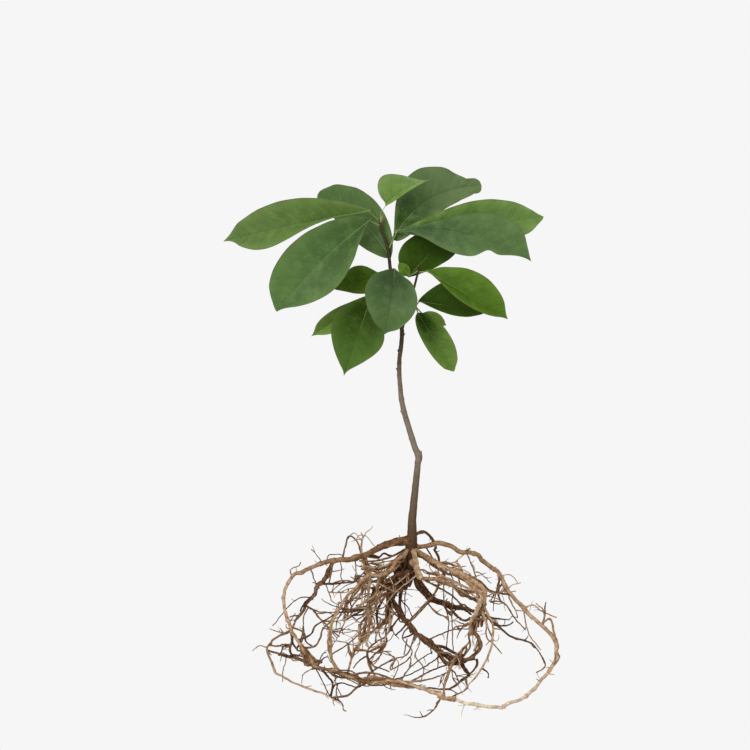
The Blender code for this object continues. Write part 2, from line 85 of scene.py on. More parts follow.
def smooth_course(guides, step):
    """Points at even spacing on one smooth curve through the guides, whatever numbers each guide holds."""
    ends = [guides[0], *guides, guides[-1]]
    course = []
    for before, a, b, after in zip(ends, ends[1:], ends[2:], ends[3:]):
        span = (Vector(b[:3]) - Vector(a[:3])).length
        count = max(1, round(span / step))
        for i in range(count):
            course.append(tuple(smoothed(*numbers, i / count) for numbers in zip(before, a, b, after)))
    course.append(tuple(guides[-1]))
    return course


def limb_line(guides, step=LIMB_STEP):
    """(place, thickness) along a limb whose guides hold both."""
    return [(Vector(p[:3]), p[3]) for p in smooth_course(guides, step)]


def fine_line(line, step=3.0):
    """The same line with points close enough together to stand for its whole surface."""
    made = []
    for (a, thick_a), (b, thick_b) in zip(line, line[1:]):
        count = max(1, math.ceil((b - a).length / step))
        made += [(a.lerp(b, i / count), thick_a + (thick_b - thick_a) * i / count) for i in range(count)]
    return [*made, line[-1]]


# %% The stem and its side shoot
STEM = [
    (-2, -40, 70, 7.0), (-1, -22, 73, 12.0), (-1, -6, 75, 15.0), (0, 8, 75, 12.5), (0, 24, 75, 10.6),
    (4, 64, 74, 8.6), (7.5, 98, 73, 8.0), (8.5, 106, 73, 9.2), (4, 116, 73.5, 7.6), (-10.5, 164, 75, 6.9),
    (-14.5, 190, 76, 6.0), (-16, 222, 76, 5.6), (-12.5, 262, 76, 5.4), (-18, 296, 76, 5.0),
    (-25, 330, 75, 4.4), (-27.5, 343, 75, 4.2),
]
SIDE_SHOOT = [
    (-12.5, 264, 76, 3.6), (-7, 284, 76, 3.2), (-1, 302, 77, 3.0), (3, 318, 78, 2.9), (6.5, 332, 78, 2.8),
]
lines = {"stem": limb_line(STEM), "side_shoot": limb_line(SIDE_SHOOT)}
print("stem points:", len(lines["stem"]))

# %% [markdown]
# ## Round limbs
#
# A limb is a curve object with a round bevel, because a curve takes a thickness at each of its points
# and turns its rings smoothly. Converted to a mesh it is closed at its caps and can be given relief.
# The first one made is the stem, as coarse as its solid: the difference between their boxes says
# where the collar stands in the frame.

# %% Tubes along lines
STEM_SIDES = 8
WELD = 0.01
origin = Vector((0.0, 0.0, 0.0))


def at(place):
    """A place in millimetres from the collar, as metres in the frame."""
    return Vector(place) * MM + origin


def deselect():
    """Leaves nothing selected, so that the next step works on its own piece alone."""
    for thing in list(bpy.context.selected_objects):
        thing.select_set(False)


def tubes(name, drawn, sides):
    """Round tubes along lines of (place, thickness), closed at both ends, as one mesh."""
    deselect()
    bpy.ops.curve.primitive_nurbs_path_add()
    path = bpy.context.object
    path.name = path.data.name = name
    path.data.splines.clear()
    for line in drawn:
        spline = path.data.splines.new("POLY")
        spline.points.add(len(line) - 1)
        spline.use_smooth = True
        for point, (place, thickness) in zip(spline.points, line):
            point.co = (*at(place), 1.0)
            point.radius = thickness / 2
    path.data.bevel_depth = MM
    # A bevel has four sides at resolution 0, and each step up adds two.
    path.data.bevel_resolution = (sides - 4) // 2
    path.data.use_fill_caps = True
    bpy.ops.object.convert(target="MESH")
    bpy.ops.object.mode_set(mode="EDIT")
    bpy.ops.mesh.select_all(action="SELECT")
    bpy.ops.mesh.remove_doubles(threshold=WELD * MM)
    bpy.ops.mesh.normals_make_consistent(inside=False)
    bpy.ops.object.mode_set(mode="OBJECT")
    return bpy.context.object


trial = tubes("trial", [lines["stem"]], STEM_SIDES)
lowest = Vector([min(v.co[axis] for v in trial.data.vertices) for axis in range(3)])
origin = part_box("stem")[0] - lowest
bpy.data.objects.remove(trial)
print("the collar is at", [round(c / MM, 2) for c in at((0, 0, 0))], "mm")

# %% [markdown]
# ## The main roots
#
# A washed root is woody and wiry: it keeps the bends it grew with round stones and round the other
# roots. Each has a carrier that it branches off, and a course of a few guides. A little smooth noise
# bends that course, and it never goes below the bench. The tone of a root's skin, from 0 to 1, says
# how pale it is. Roots in front get pale tones and roots behind and under the others dark ones:
# partly their own skin, partly painted light and shade.

# %% The main roots' courses
WOBBLE = 2.4
WOBBLE_WAVE = 26.0
AXES_APART = 7.3
KNOB = 0.10
KNOB_WAVE = 9.0


def root(on, thickness, skin_tones, spacing, *course):
    """What a root grows from, its thickness and the tone of its skin at its foot and its tip (partly
    painted shade on roots behind and under others), how far apart its rootlets are, and its course."""
    return {"on": on, "thickness": thickness, "skin_tones": skin_tones, "spacing": spacing, "course": course}


# The darkest tones are on the roots that lie behind and under the others, as the tap root and the back roots
# do, and the palest on the outer ring in front: partly their own skin, partly painted shade and light.
ROOTS = {
    "root_left": root("stem", (10.5, 5.2), (0.28, 0.66), 26, (-2, 1, 76), (-27, -3, 80), (-63, -17, 86),
        (-102, -25, 91), (-147, -40, 94)),
    "root_left_edge": root("root_left", (5.0, 4.4), (0.76, 0.62), 36, (-148, -41, 94), (-159, -66, 98),
        (-154, -95, 103), (-140, -127, 110), (-121, -152, 118)),
    "root_front": root("root_left_edge", (5.0, 5.6), (0.42, 0.8), 28, (-121, -153, 118), (-98, -159, 124),
        (-63, -169, 131), (-18, -172, 135), (37, -187, 133)),
    "root_stray": root("root_front", (2.8, 1.8), (0.5, 0.3), 26, (35, -190, 131), (26, -205, 124),
        (6, -217, 114), (-11, -214, 108)),
    "root_right": root("stem", (7.2, 5.2), (0.5, 0.76), 28, (0, -2, 74), (10, -8, 74), (20, -6, 75),
        (33, -3, 75), (47, -6, 75), (59, -12, 75), (74, -14, 74), (84, -20, 74), (97, -32, 73),
        (107, -42, 73), (129, -72, 74), (174, -119, 86)),
    "root_right_ring": root("root_right", (5.2, 4.4), (0.72, 1.0), 44, (174, -119, 86), (180, -141, 93),
        (167, -164, 103), (143, -188, 113), (110, -203, 121), (74, -199, 127), (43, -190, 131)),
    "root_bent": root("stem", (7.5, 6.2), (0.54, 0.7), 28, (2, -9, 77), (24, -21, 90), (51, -35, 101),
        (80, -50, 112), (91, -60, 114)),
    "root_bent_down": root("root_bent", (5.8, 4.4), (0.66, 0.42), 20, (91, -62, 113), (89, -80, 106),
        (77, -106, 92), (85, -132, 74), (70, -150, 58), (55, -152, 50)),
    "root_right_drop": root("root_bent_down", (3.6, 2.6), (0.64, 0.76), 24, (89, -80, 106),
        (98, -98, 104), (98, -119, 104), (91, -145, 110), (61, -186, 122)),
    "root_middle": root("stem", (8.4, 7.0), (0.64, 0.58), 28, (-1, -22, 76), (6, -36, 90), (11, -46, 98)),
    "root_middle_right": root("root_middle", (6.4, 4.4), (0.52, 0.42), 20, (11, -45, 98), (30, -47, 99),
        (54, -57, 98), (84, -77, 92)),
    "root_right_thin": root("stem", (4.4, 2.6), (0.44, 0.54), 26, (3, -10, 70), (27, -32, 60),
        (55, -46, 54), (85, -60, 50), (121, -69, 46)),
    "root_hook": root("stem", (4.4, 2.6), (0.34, 0.36), 30, (0, 6, 73), (14, 10, 64), (24, 2, 54),
        (31, -14, 44), (40, -42, 26), (56, -62, 0)),
    "root_back_right": root("stem", (7.2, 4.0), (0.32, 0.34), 22, (1, -26, 70), (13, -64, 44),
        (37, -80, 30), (68, -89, 16), (95, -98, 8), (126, -103, 4)),
    "root_back_far": root("root_back_right", (3.6, 2.4), (0.34, 0.4), 24, (94, -100, 9), (114, -114, 7),
        (132, -126, 4), (156, -137, 0), (169, -160, 0)),
    "root_tap": root("stem", (8.4, 4.8), (0.36, 0.46), 20, (-3, -37, 70), (-24, -58, 63), (-17, -89, 56),
        (7, -117, 47), (37, -142, 41), (55, -150, 39)),
    "root_left_front": root("stem", (6.2, 4.8), (0.54, 0.62), 20, (-4, -8, 78), (-19, -24, 93),
        (-32, -40, 101), (-54, -40, 104)),
    "root_left_drop": root("root_left_front", (4.4, 2.6), (0.64, 0.6), 24, (-54, -40, 104),
        (-83, -68, 106), (-98, -98, 110), (-105, -124, 113), (-99, -146, 110), (-92, -183, 104)),
    "root_left_inner": root("root_left", (6.2, 3.8), (0.46, 0.52), 24, (-98, -25, 90), (-106, -42, 70),
        (-128, -75, 40), (-147, -107, 8), (-153, -124, 0)),
    "root_left_low": root("root_left_inner", (3.6, 2.4), (0.5, 0.84), 26, (-150, -117, 3),
        (-168, -125, 14), (-183, -139, 22), (-173, -163, 40), (-150, -178, 58), (-99, -197, 80),
        (-84, -211, 86)),
    "root_wave": root("root_left_low", (3.4, 2.2), (0.4, 0.46), 22, (-182, -140, 24), (-160, -148, 34),
        (-141, -149, 44), (-117, -159, 56), (-90, -168, 62)),
    "root_back_left": root("stem", (6.6, 3.4), (0.48, 0.46), 24, (-4, -14, 68), (-15, -20, 60),
        (-32, -43, 44), (-50, -73, 28), (-58, -103, 12), (-65, -132, 2), (-75, -150, 0), (-82, -170, 0)),
    "root_back_middle": root("stem", (5.6, 3.2), (0.3, 0.38), 26, (1, -18, 70), (-10, -45, 46),
        (-16, -74, 24), (-9, -101, 6), (6, -122, 0), (25, -139, 0), (41, -152, 0)),
}


def drift_at(place, seed, wave=WOBBLE_WAVE):
    """A smooth random step aside that depends only on the place and the seed."""
    spot = place / wave + Vector((seed, 0, 0))
    return Vector([noise.noise(spot + Vector((0, 0, AXES_APART * axis))) for axis in range(3)])


def wandering(course, thickness_at, seed):
    """(place, thickness) along a root: its course with a little wobble and knobs, never below the bench."""
    made = []
    last = len(course) - 1
    for i, point in enumerate(course):
        along = i / last
        place = Vector(point[:3])
        place += drift_at(place, seed) * WOBBLE * math.sin(math.pi * along)
        thickness = thickness_at(along) * (1 + KNOB * noise.noise(place / KNOB_WAVE + Vector((0, seed, 0))))
        place.z = max(place.z, thickness / 2)
        made.append((place, thickness))
    return made


def nearest_on(line, place):
    """The point on a limb's axis that lies nearest to a place."""
    return min((there for there, _ in fine_line(line, 1.0)), key=lambda there: (there - Vector(place)).length)


for name, spec in ROOTS.items():
    start, end = spec["thickness"]
    foot = nearest_on(lines[spec["on"]], spec["course"][0])
    course = smooth_course([tuple(foot), *spec["course"][1:]], LIMB_STEP)
    lines[name] = wandering(course, lambda along: start + (end - start) * along, len(name) + start)
print(len(ROOTS), "main roots")

# %% [markdown]
# ## Finishes
#
# The plant has no paint on it, so every finish is a dull natural skin. Where one is darker in its
# folds, as the leaf skin is in its sunk veins, that is painted shade.
# Colours are given as sRGB hex codes, as a colour picker shows them, and one function makes them
# linear. Patterns read the object's own coordinates in metres, so that a grain has its real size.

# %% Helpers for finishes
EASED = {"interpolation_type": "SMOOTHSTEP"}
# The colour inputs and output of a mix node, which also has some of the same name for plain numbers.
MIX_UNDER, MIX_OVER, MIX_COLOUR = 6, 7, 2


def colour(code):
    """An sRGB hex code as linear red, green, blue and alpha."""
    channels = [int(code[i:i + 2], 16) / 255 for i in (1, 3, 5)]
    linear = [c / 12.92 if c <= 0.04045 else ((c + 0.055) / 1.055) ** 2.4 for c in channels]
    return (*linear, 1.0)


def new_finish(name, roughness, gloss=0.5):
    """A new finish, with its node tree and its surface."""
    finish = bpy.data.materials.new(name)
    finish.use_nodes = True
    surface = finish.node_tree.nodes["Principled BSDF"]
    surface.inputs["Roughness"].default_value = roughness
    surface.inputs["Specular IOR Level"].default_value = gloss
    return finish, finish.node_tree, surface


def add(tree, kind, inputs=None, **settings):
    """Adds a node with its settings. An input is given a value, or another node's output to link to."""
    made = tree.nodes.new(kind)
    for key, value in settings.items():
        setattr(made, key, value)
    for key, source in (inputs or {}).items():
        if isinstance(source, bpy.types.NodeSocket):
            tree.links.new(source, made.inputs[key])
        else:
            made.inputs[key].default_value = source
    return made


def grain(tree, size, detail=3.0, roughness=0.55):
    """A natural grain whose patches are about this many millimetres across."""
    place = add(tree, "ShaderNodeTexCoord").outputs["Object"]
    inputs = {"Vector": place, "Scale": 1 / (size * MM), "Detail": detail, "Roughness": roughness}
    return add(tree, "ShaderNodeTexNoise", inputs).outputs["Fac"]


def patches(tree, look, low, high, first, last):
    """A share that goes from first to last as a grain, given by its size and habit, goes from low to high."""
    inputs = {0: grain(tree, *look), 1: low, 2: high, 3: first, 4: last}
    return add(tree, "ShaderNodeMapRange", inputs, **EASED).outputs[0]


def layered(tree, base, *layers):
    """A colour with others laid over it, each a share and a hex code."""
    for share, code in layers:
        inputs = {"Factor": share, MIX_UNDER: base, MIX_OVER: colour(code)}
        base = add(tree, "ShaderNodeMix", inputs, data_type="RGBA").outputs[MIX_COLOUR]
    return base


def set_stops(ramp, stops):
    """Gives a colour ramp its stops, each a share and a hex code."""
    placed = ramp.color_ramp.elements
    while len(placed) < len(stops):
        placed.new(0.5)
    for stop, (share, code) in zip(placed, stops):
        stop.position = share
        stop.color = colour(code)


def off_middle(tree, source):
    """How far a share lies from a half."""
    off = add(tree, "ShaderNodeMath", {0: source, 1: 0.5}, operation="SUBTRACT").outputs[0]
    return add(tree, "ShaderNodeMath", {0: off}, operation="ABSOLUTE").outputs[0]


def map_axes(tree, name):
    """The two numbers that a piece's own map holds."""
    found = add(tree, "ShaderNodeUVMap", uv_map=name).outputs["UV"]
    axes = add(tree, "ShaderNodeSeparateXYZ", {"Vector": found})
    return axes.outputs["X"], axes.outputs["Y"]


def finished(tree, surface, base, height, depth):
    """Gives a surface its base colour, and a height that roughens it this many millimetres deep."""
    tree.links.new(base, surface.inputs["Base Color"])
    bump = add(tree, "ShaderNodeBump", {"Strength": 1.0, "Distance": depth * MM, "Height": height})
    tree.links.new(bump.outputs["Normal"], surface.inputs["Normal"])


# %% [markdown]
# ### Root skin
#
# A washed root has a thin corky skin, from pale tan through brown to nearly black. The palest tones
# are on the roots that lie in front and the darkest on those behind and under the others and near the
# collar: partly their own skin, partly painted light and shade. So one finish serves all roots: each
# mesh carries its tone in its own map, 0 for the darkest skin and 1 for the palest, and a patchy
# stain, a fine fleck and small wrinkles are laid over it.

# %% Root skin
STAIN_PATCH = 5.5
FLECK = 1.2
WRINKLE = 0.7
SKIN_TONE_RAMP = [
    (0.0, "#2c190b"), (0.2, "#472b17"), (0.42, "#755335"), (0.64, "#a38160"), (0.84, "#c6ac90"),
    (1.0, "#e4d6be"),
]
FLECK_TAN = "#d3bb99"
SKIN_TONE_LABELS = {"dark": 0.26, "brown": 0.45, "tan": 0.67, "pale": 0.80}


def root_skin():
    """Corky skin from nearly black to pale tan, by the tone in the piece's own map, which is partly painted
    light and shade.
    """
    finish, tree, surface = new_finish("washed_root_skin", 0.85, 0.2)
    skin_tone, _ = map_axes(tree, "skin")
    stain = patches(tree, (STAIN_PATCH, 4.0, 0.6), 0.34, 0.70, 0.09, -0.17)
    stained = add(tree, "ShaderNodeMath", {0: skin_tone, 1: stain}, operation="ADD", use_clamp=True)
    ramp = add(tree, "ShaderNodeValToRGB", {"Fac": stained.outputs[0]})
    set_stops(ramp, SKIN_TONE_RAMP)
    flecks = patches(tree, (FLECK, 2.0), 0.54, 0.76, 0.0, 0.30)
    base = layered(tree, ramp.outputs["Color"], (flecks, FLECK_TAN))
    finished(tree, surface, base, grain(tree, WRINKLE, 4.0, 0.65), 0.3)
    return finish


ROOT_SKIN = root_skin()
print("root skin ages:", SKIN_TONE_LABELS)

# %% [markdown]
# ### Stem bark
#
# The stem has smooth young bark. At its foot it is brown like the roots, then grey-brown and dull, and
# under the leaves, where it is this year's wood, dark brown. So its colour is a ramp along the stem,
# with fine cork flecks and darker blotches over it.

# %% Stem bark
BARK_ALONG = [
    (-40, "#39230f"), (-12, "#432b17"), (8, "#4f3924"), (24, "#574634"), (60, "#635342"),
    (80, "#695a47"), (104, "#7b6e60"), (140, "#786e5e"), (176, "#796b5a"), (204, "#6f604d"),
    (226, "#584a3a"), (262, "#4b3d2b"), (300, "#382c19"), (343, "#2e2513"), (400, "#3d341d"),
]
BLOTCH_BROWN = "#3b2e22"
CORK_GREY = "#a3957f"
BLOTCH = 5.0
CORK_FLECK = 0.9


def stem_bark():
    """Young bark whose colour changes along the stem."""
    finish, tree, surface = new_finish("young_stem_bark", 0.72, 0.15)
    place = add(tree, "ShaderNodeTexCoord").outputs["Object"]
    axes = add(tree, "ShaderNodeSeparateXYZ", {"Vector": place})
    low, high = BARK_ALONG[0][0], BARK_ALONG[-1][0]
    inputs = {"Value": axes.outputs["Y"], "From Min": at((0, low, 0)).y, "From Max": at((0, high, 0)).y}
    along = add(tree, "ShaderNodeMapRange", inputs).outputs["Result"]
    ramp = add(tree, "ShaderNodeValToRGB", {"Fac": along})
    set_stops(ramp, [((y - low) / (high - low), code) for y, code in BARK_ALONG])
    blotches = patches(tree, (BLOTCH,), 0.48, 0.74, 0.0, 0.45)
    flecks = patches(tree, (CORK_FLECK, 2.0), 0.56, 0.74, 0.0, 0.40)
    base = layered(tree, ramp.outputs["Color"], (blotches, BLOTCH_BROWN), (flecks, CORK_GREY))
    finished(tree, surface, base, grain(tree, 0.6, 4.0, 0.6), 0.18)
    return finish


BARK = stem_bark()

# %% [markdown]
# ### Leaf skin
#
# The leaf is leathery, with a waxy skin that takes a soft grey sheen from the sky. A blade's own map
# has the count of side veins in u and the distance from its rib in v, so thin darker lines of painted
# shade can follow the sunk veins. Young leaves differ in green, and leaves in the shade of others are
# given darker tones, partly painted shade: each is one of a few plain tones. Each blade is painted
# darker at its foot, where leaves above shade it, and lighter towards its margin, partly as painted
# light. The underside is paler and duller.

# %% Leaf skins
LEAF_ROUGHNESS = 0.55
# The dark green of the leaf's own dark patches, and of the painted shade on the left half and in the sunk
# veins.
LEAF_DARK = "#22330c"
RIB_PALE = "#93a86a"
MARGIN_BROWN = "#5f5a3c"
CREASES = 2.6
VEIN_HALF = 0.10
VEIN_SHADE = 0.22
VEIN_FADE = 22.0
LEAF_PATCH = 17.0
LEAF_SPECK = 2.6
RIB_SHOWS = 0.6
MAP_SPAN = 100.0
MAP_VEINS = 20.0
RIB_HALF = 0.5


def leaf_skin(name, foot, tip, light, gloss, rib_reach, left_half_shade=0.0, crease_highlight=0.0):
    """A waxy green skin, with one tone at the foot and one at the tip. A darker foot is painted shade.

    Its patches are lighter, a band towards its margin is lighter, partly as painted light, its thin edge
    is browner, and its sunk side veins are darker, as painted shade. Its pale rib fades out at
    rib_reach. Its left half may be darker, as painted shade, and near the tip it may have pale lines on
    fine creases, which are painted highlights.
    """
    finish, tree, surface = new_finish(name + "_leaf_skin", LEAF_ROUGHNESS, gloss)
    veins_along, out = map_axes(tree, "blade")
    along, across = map_axes(tree, "share")
    aside, edge = off_middle(tree, out), off_middle(tree, across)
    count = add(tree, "ShaderNodeMath", {0: veins_along, 1: MAP_VEINS}, operation="MULTIPLY").outputs[0]
    near = add(tree, "ShaderNodeMath", {0: count, 1: 0.5}, operation="PINGPONG").outputs[0]
    often = add(tree, "ShaderNodeMath", {0: count, 1: CREASES}, operation="MULTIPLY").outputs[0]
    fold = add(tree, "ShaderNodeMath", {0: often, 1: 0.5}, operation="PINGPONG").outputs[0]
    # Each goes from one value to another, as what it reads goes from its low end to its high one.
    eased = {}
    for part, numbers in {
        # Painted shade: the foot of the blade darker than its tip.
        "length": (along, 0.15, 0.9, 0.0, 1.0),
        # Painted shade: the left half of the blade darker.
        "left": (across, 0.35, 0.55, left_half_shade, 0.0),
        # Partly the blade's own paler margin, partly painted light: lighter towards the margin.
        "edge": (edge, 0.24, 0.5, 0.0, 0.40),
        "margin": (edge, 0.465, 0.5, 0.0, 0.5),
        # Painted shade: darker lines in the sunk side veins, fainter away from the rib.
        "vein": (near, 0.0, VEIN_HALF, 1.0, 0.0),
        "vein_fade": (aside, 0.0, VEIN_FADE / MAP_SPAN, VEIN_SHADE, 0.4 * VEIN_SHADE),
        # Painted highlights: pale lines on fine creases near the tip.
        "crease_highlight": (fold, 0.0, 0.4, crease_highlight, 0.0),
        "crease_from": (along, 0.35, 0.6, 0.0, 1.0),
        "rib": (aside, 0.3 * RIB_HALF / MAP_SPAN, RIB_HALF / MAP_SPAN, 1.0, 0.0),
        "rib_fade": (along, 0.0, rib_reach, RIB_SHOWS, 0.0),
    }.items():
        eased[part] = add(tree, "ShaderNodeMapRange", dict(enumerate(numbers)), **EASED).outputs[0]
    faded = {}
    for line, fade in (("vein", "vein_fade"), ("crease_highlight", "crease_from"), ("rib", "rib_fade")):
        both = {0: eased[line], 1: eased[fade]}
        faded[line] = add(tree, "ShaderNodeMath", both, operation="MULTIPLY").outputs[0]
    # Over the foot and tip tones go the leaf's own dark and light patches and specks, a lighter band towards
    # the margin that is partly painted light, its brown edge, vein lines of painted shade, pale crease lines
    # of painted highlight and its pale rib.
    base = layered(
        tree, colour(foot), (eased["length"], tip), (eased["left"], LEAF_DARK),
        (patches(tree, (LEAF_PATCH, 2.0), 0.30, 0.52, 0.12, 0.0), LEAF_DARK),
        (patches(tree, (LEAF_PATCH * 0.8, 3.0), 0.44, 0.74, 0.0, 0.36), light),
        (patches(tree, (LEAF_SPECK, 3.0, 0.6), 0.42, 0.70, 0.0, 0.20), light),
        (eased["edge"], light), (eased["margin"], MARGIN_BROWN),
        (faded["vein"], LEAF_DARK), (faded["crease_highlight"], light), (faded["rib"], RIB_PALE),
    )
    finished(tree, surface, base, grain(tree, 1.6, 3.0, 0.6), 0.08)
    return finish


# Each tone holds the foot, the tip, a lighter green, the gloss, the rib's reach, and for some the shade on
# the left half and the crease highlights. A foot darker than its tip is painted shade, and the dark tones of
# leaves that lie under others, such as deep and shade, are partly painted shade.
LEAF_TONES = {
    "sunlit": ("#547030", "#5a723c", "#768f4a", 0.2, 0.35),
    "broad": ("#3c5727", "#506d37", "#628042", 0.2, 0.75, 0.38),
    "dull": ("#435c2c", "#4b6532", "#5e7842", 0.2, 0.9),
    "young": ("#68883a", "#68834a", "#829c5c", 0.2, 0.8, 0.0, 0.08),
    "tall": ("#24420a", "#6a8150", "#6b8050", 0.15, 0.65, 0.0, 0.16),
    "long": ("#456329", "#62803c", "#7d9a4c", 0.2, 0.9),
    "grey": ("#324c26", "#4f6a35", "#627e45", 0.3, 0.12),
    "slate": ("#2c4220", "#46602c", "#56713c", 0.25, 0.3),
    "vivid": ("#43601a", "#4d6a1d", "#66862c", 0.1, 0.8),
    "deep": ("#2e450e", "#31480e", "#3f5b17", 0.06, 0.6),
    "shade": ("#273a06", "#486426", "#527030", 0.05, 0.6),
    "mid": ("#2a4409", "#607c36", "#6a883a", 0.1, 0.7),
    "back": ("#648236", "#66823a", "#7d9a48", 0.1, 0.5),
    "low": ("#3e5b0f", "#486414", "#58782a", 0.05, 0.6),
}
LEAF_SKINS = {tone: leaf_skin(tone, *looks) for tone, looks in LEAF_TONES.items()}
UNDERSIDE = leaf_skin("under", "#768c5d", "#7c9163", "#95a87a", 0.2, 1.0)


def stalk_skin():
    """The smooth skin of leaf stalks and ribs."""
    finish, tree, surface = new_finish("green_stalk_skin", 0.5)
    base = layered(tree, colour("#78924c"), (grain(tree, 2.5), "#6a7a3a"))
    finished(tree, surface, base, grain(tree, 0.5), 0.06)
    return finish


STALK = stalk_skin()
print(len(LEAF_SKINS), "leaf skins")

# %% [markdown]
# ## The stem
#
# The stem is a tapering tube, a little kneed where last year's tip died back and a side bud took over.
# Every bud leaves a scar and a slight ring behind it. The rings are swellings of the tube. Broad lumps
# and fine cork come from two displacements, applied to the mesh, because relief that is really there
# also breaks the outline.

# %% The stem's mesh
STEM_RING_STEP = 0.9
STEM_FINE_SIDES = 20
SCAR_RINGS = [80, 108, 128, 162, 177, 214, 237, 257, 282, 312]
SHOOT_SCAR_RINGS = [276, 300, 326]
RING_SWELL = 0.075
RING_WIDTH = 1.7
# Unevenness of the thickness: its share, its wave along the stem in millimetres, and a seed.
STEM_UNEVEN = [(0.03, 6.0, 0.0), (0.012, 1.3, 5.0)]
# Relief: how large its lumps are, and how deep, in millimetres.
STEM_LUMPS = (7.0, 0.7)
STEM_CORK = (1.6, 0.22)
SHOOT_CORK = (1.4, 0.16)
END_LEAST = 0.12


def relieved(piece, size, depth):
    """The piece with lumps of this size and depth in millimetres pushed into its surface."""
    clouds = bpy.data.textures.new(piece.name + "_relief", "CLOUDS")
    clouds.noise_scale = size * MM
    clouds.noise_depth = 2
    lumps = piece.modifiers.new("relief", "DISPLACE")
    lumps.texture = clouds
    lumps.strength = depth * MM
    bpy.context.view_layer.objects.active = piece
    bpy.ops.object.modifier_apply(modifier=lumps.name)


def dressed(piece, slot, finish, *nodes):
    """Gives a piece its finish, hangs it from the root body and hides the solids that it stands for. The slot
    is not used.
    """
    piece.data.materials.clear()
    piece.data.materials.append(finish)
    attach(piece, "root")
    if nodes:
        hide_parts(*nodes)


def smooth(piece, angle=60):
    """Shades a piece smooth where its faces meet at less than this many degrees."""
    deselect()
    piece.select_set(True)
    bpy.context.view_layer.objects.active = piece
    bpy.ops.object.shade_smooth_by_angle(angle=math.radians(angle))


def rounded_end(distance, thickness):
    """Share of the thickness this far from a blunt end."""
    short = min(1.0, distance / (thickness / 2))
    return max(END_LEAST, math.sqrt(max(0.0, short * (2 - short))))


def bark_line(line, rings):
    """The stem's line with its scar rings and small unevenness."""
    made = []
    for place, thickness in limb_line([(*p, t) for p, t in line], STEM_RING_STEP):
        swell = sum(RING_SWELL * math.exp(-(((place.y - y) / RING_WIDTH) ** 2)) for y in rings)
        uneven = sum(
            share * noise.noise(Vector((place.y / wave, seed, 0))) for share, wave, seed in STEM_UNEVEN
        )
        made.append((place, thickness * (1 + swell + uneven)))
    return made


stem = tubes("stem_bark", [bark_line(lines["stem"], SCAR_RINGS)], STEM_FINE_SIDES)
relieved(stem, *STEM_LUMPS)
relieved(stem, *STEM_CORK)
smooth(stem)
dressed(stem, "bark", BARK, "stem")

shoot = tubes("side_shoot_bark", [bark_line(lines["side_shoot"], SHOOT_SCAR_RINGS)], STEM_FINE_SIDES)
relieved(shoot, *SHOOT_CORK)
smooth(shoot)
dressed(shoot, "bark", BARK, "side_shoot")
print("stem faces:", len(stem.data.polygons))

# %% [markdown]
# ## Buds and scars on the stem
#
# A leaf that falls leaves a raised scar, with a bud above it. Each is a ball primitive, flattened on
# the stem and drawn to a point in edit mode. They are few, so they are placed one by one: how far
# along the stem, on which side, how far they stand out and how long they are.

# %% Buds and scars
BUDS = [
    (257, 70, 3.4, 2.4), (237, -80, 1.5, 3.2), (214, -85, 1.9, 3.4), (177, 5, 1.0, 3.6),
    (162, -75, 1.5, 3.4), (128, -30, 1.1, 3.6), (108, 62, 2.7, 5.0), (80, 20, 0.8, 3.0),
    (282, 40, 1.2, 2.6), (312, -40, 1.3, 2.6),
]
BUD_SUNK = 0.42
BUD_LEAN = 0.45
BUD_WIDTH = 0.34
BUD_POINT = 0.55
BUD_POINT_FROM = 0.45
BUD_CREASES = (0.9, 0.25)


def bud(number, y, side, stand, length):
    """A bud on the stem at y, turned this many degrees from its top towards +X."""
    line = fine_line(lines["stem"], 1.0)
    index = min(range(1, len(line) - 1), key=lambda i: abs(line[i][0].y - y))
    axis, thickness = line[index]
    way = (line[index + 1][0] - line[index - 1][0]).normalized()
    up = Vector((0, 0, 1))
    across = way.cross(up).normalized()
    out = (up * math.cos(math.radians(side)) + across * math.sin(math.radians(side))).normalized()
    deselect()
    bpy.ops.mesh.primitive_uv_sphere_add(segments=14, ring_count=10, radius=MM)
    made = bpy.context.object
    made.name = f"bud_{number}"
    made.rotation_mode = "QUATERNION"
    made.rotation_quaternion = way.lerp(out, BUD_LEAN).normalized().to_track_quat("Z", "Y")
    made.scale = (length * BUD_WIDTH, length * BUD_WIDTH, length / 2 + stand)
    made.location = at(axis + out * thickness * BUD_SUNK)
    bpy.ops.object.mode_set(mode="EDIT")
    bpy.ops.mesh.select_all(action="DESELECT")
    bpy.ops.object.mode_set(mode="OBJECT")
    for vertex in made.data.vertices:
        vertex.select = vertex.co.z > BUD_POINT_FROM * MM
    bpy.ops.object.mode_set(mode="EDIT")
    bpy.ops.transform.resize(value=(BUD_POINT, BUD_POINT, 1.0))
    bpy.ops.object.mode_set(mode="OBJECT")
    return made


def joined(name, pieces):
    """One object made of several, at the origin, with its place in its mesh."""
    deselect()
    for piece in pieces:
        piece.select_set(True)
    bpy.context.view_layer.objects.active = pieces[0]
    if len(pieces) > 1:
        bpy.ops.object.join()
    bpy.ops.object.transform_apply(location=True, rotation=True, scale=True)
    made = bpy.context.object
    made.name = made.data.name = name
    return made


buds = joined("stem_buds", [bud(i, *spec) for i, spec in enumerate(BUDS)])
relieved(buds, *BUD_CREASES)
smooth(buds)
dressed(buds, "bark", BARK)
print(len(BUDS), "buds and scars")

# %% [markdown]
# ## The main roots' mesh
#
# A root is drawn like the stem, with more character. It turns sharply where it met a stone, swells
# where a rootlet leaves it, and is ringed with fine wrinkles where it shrank as it dried. Turns and
# rings are in its line, so they cost no faces. Lumps are displaced into it, deeper on a thicker root.
# A root that was split at a bend is drawn in one run here, so that no seam shows at the bend.

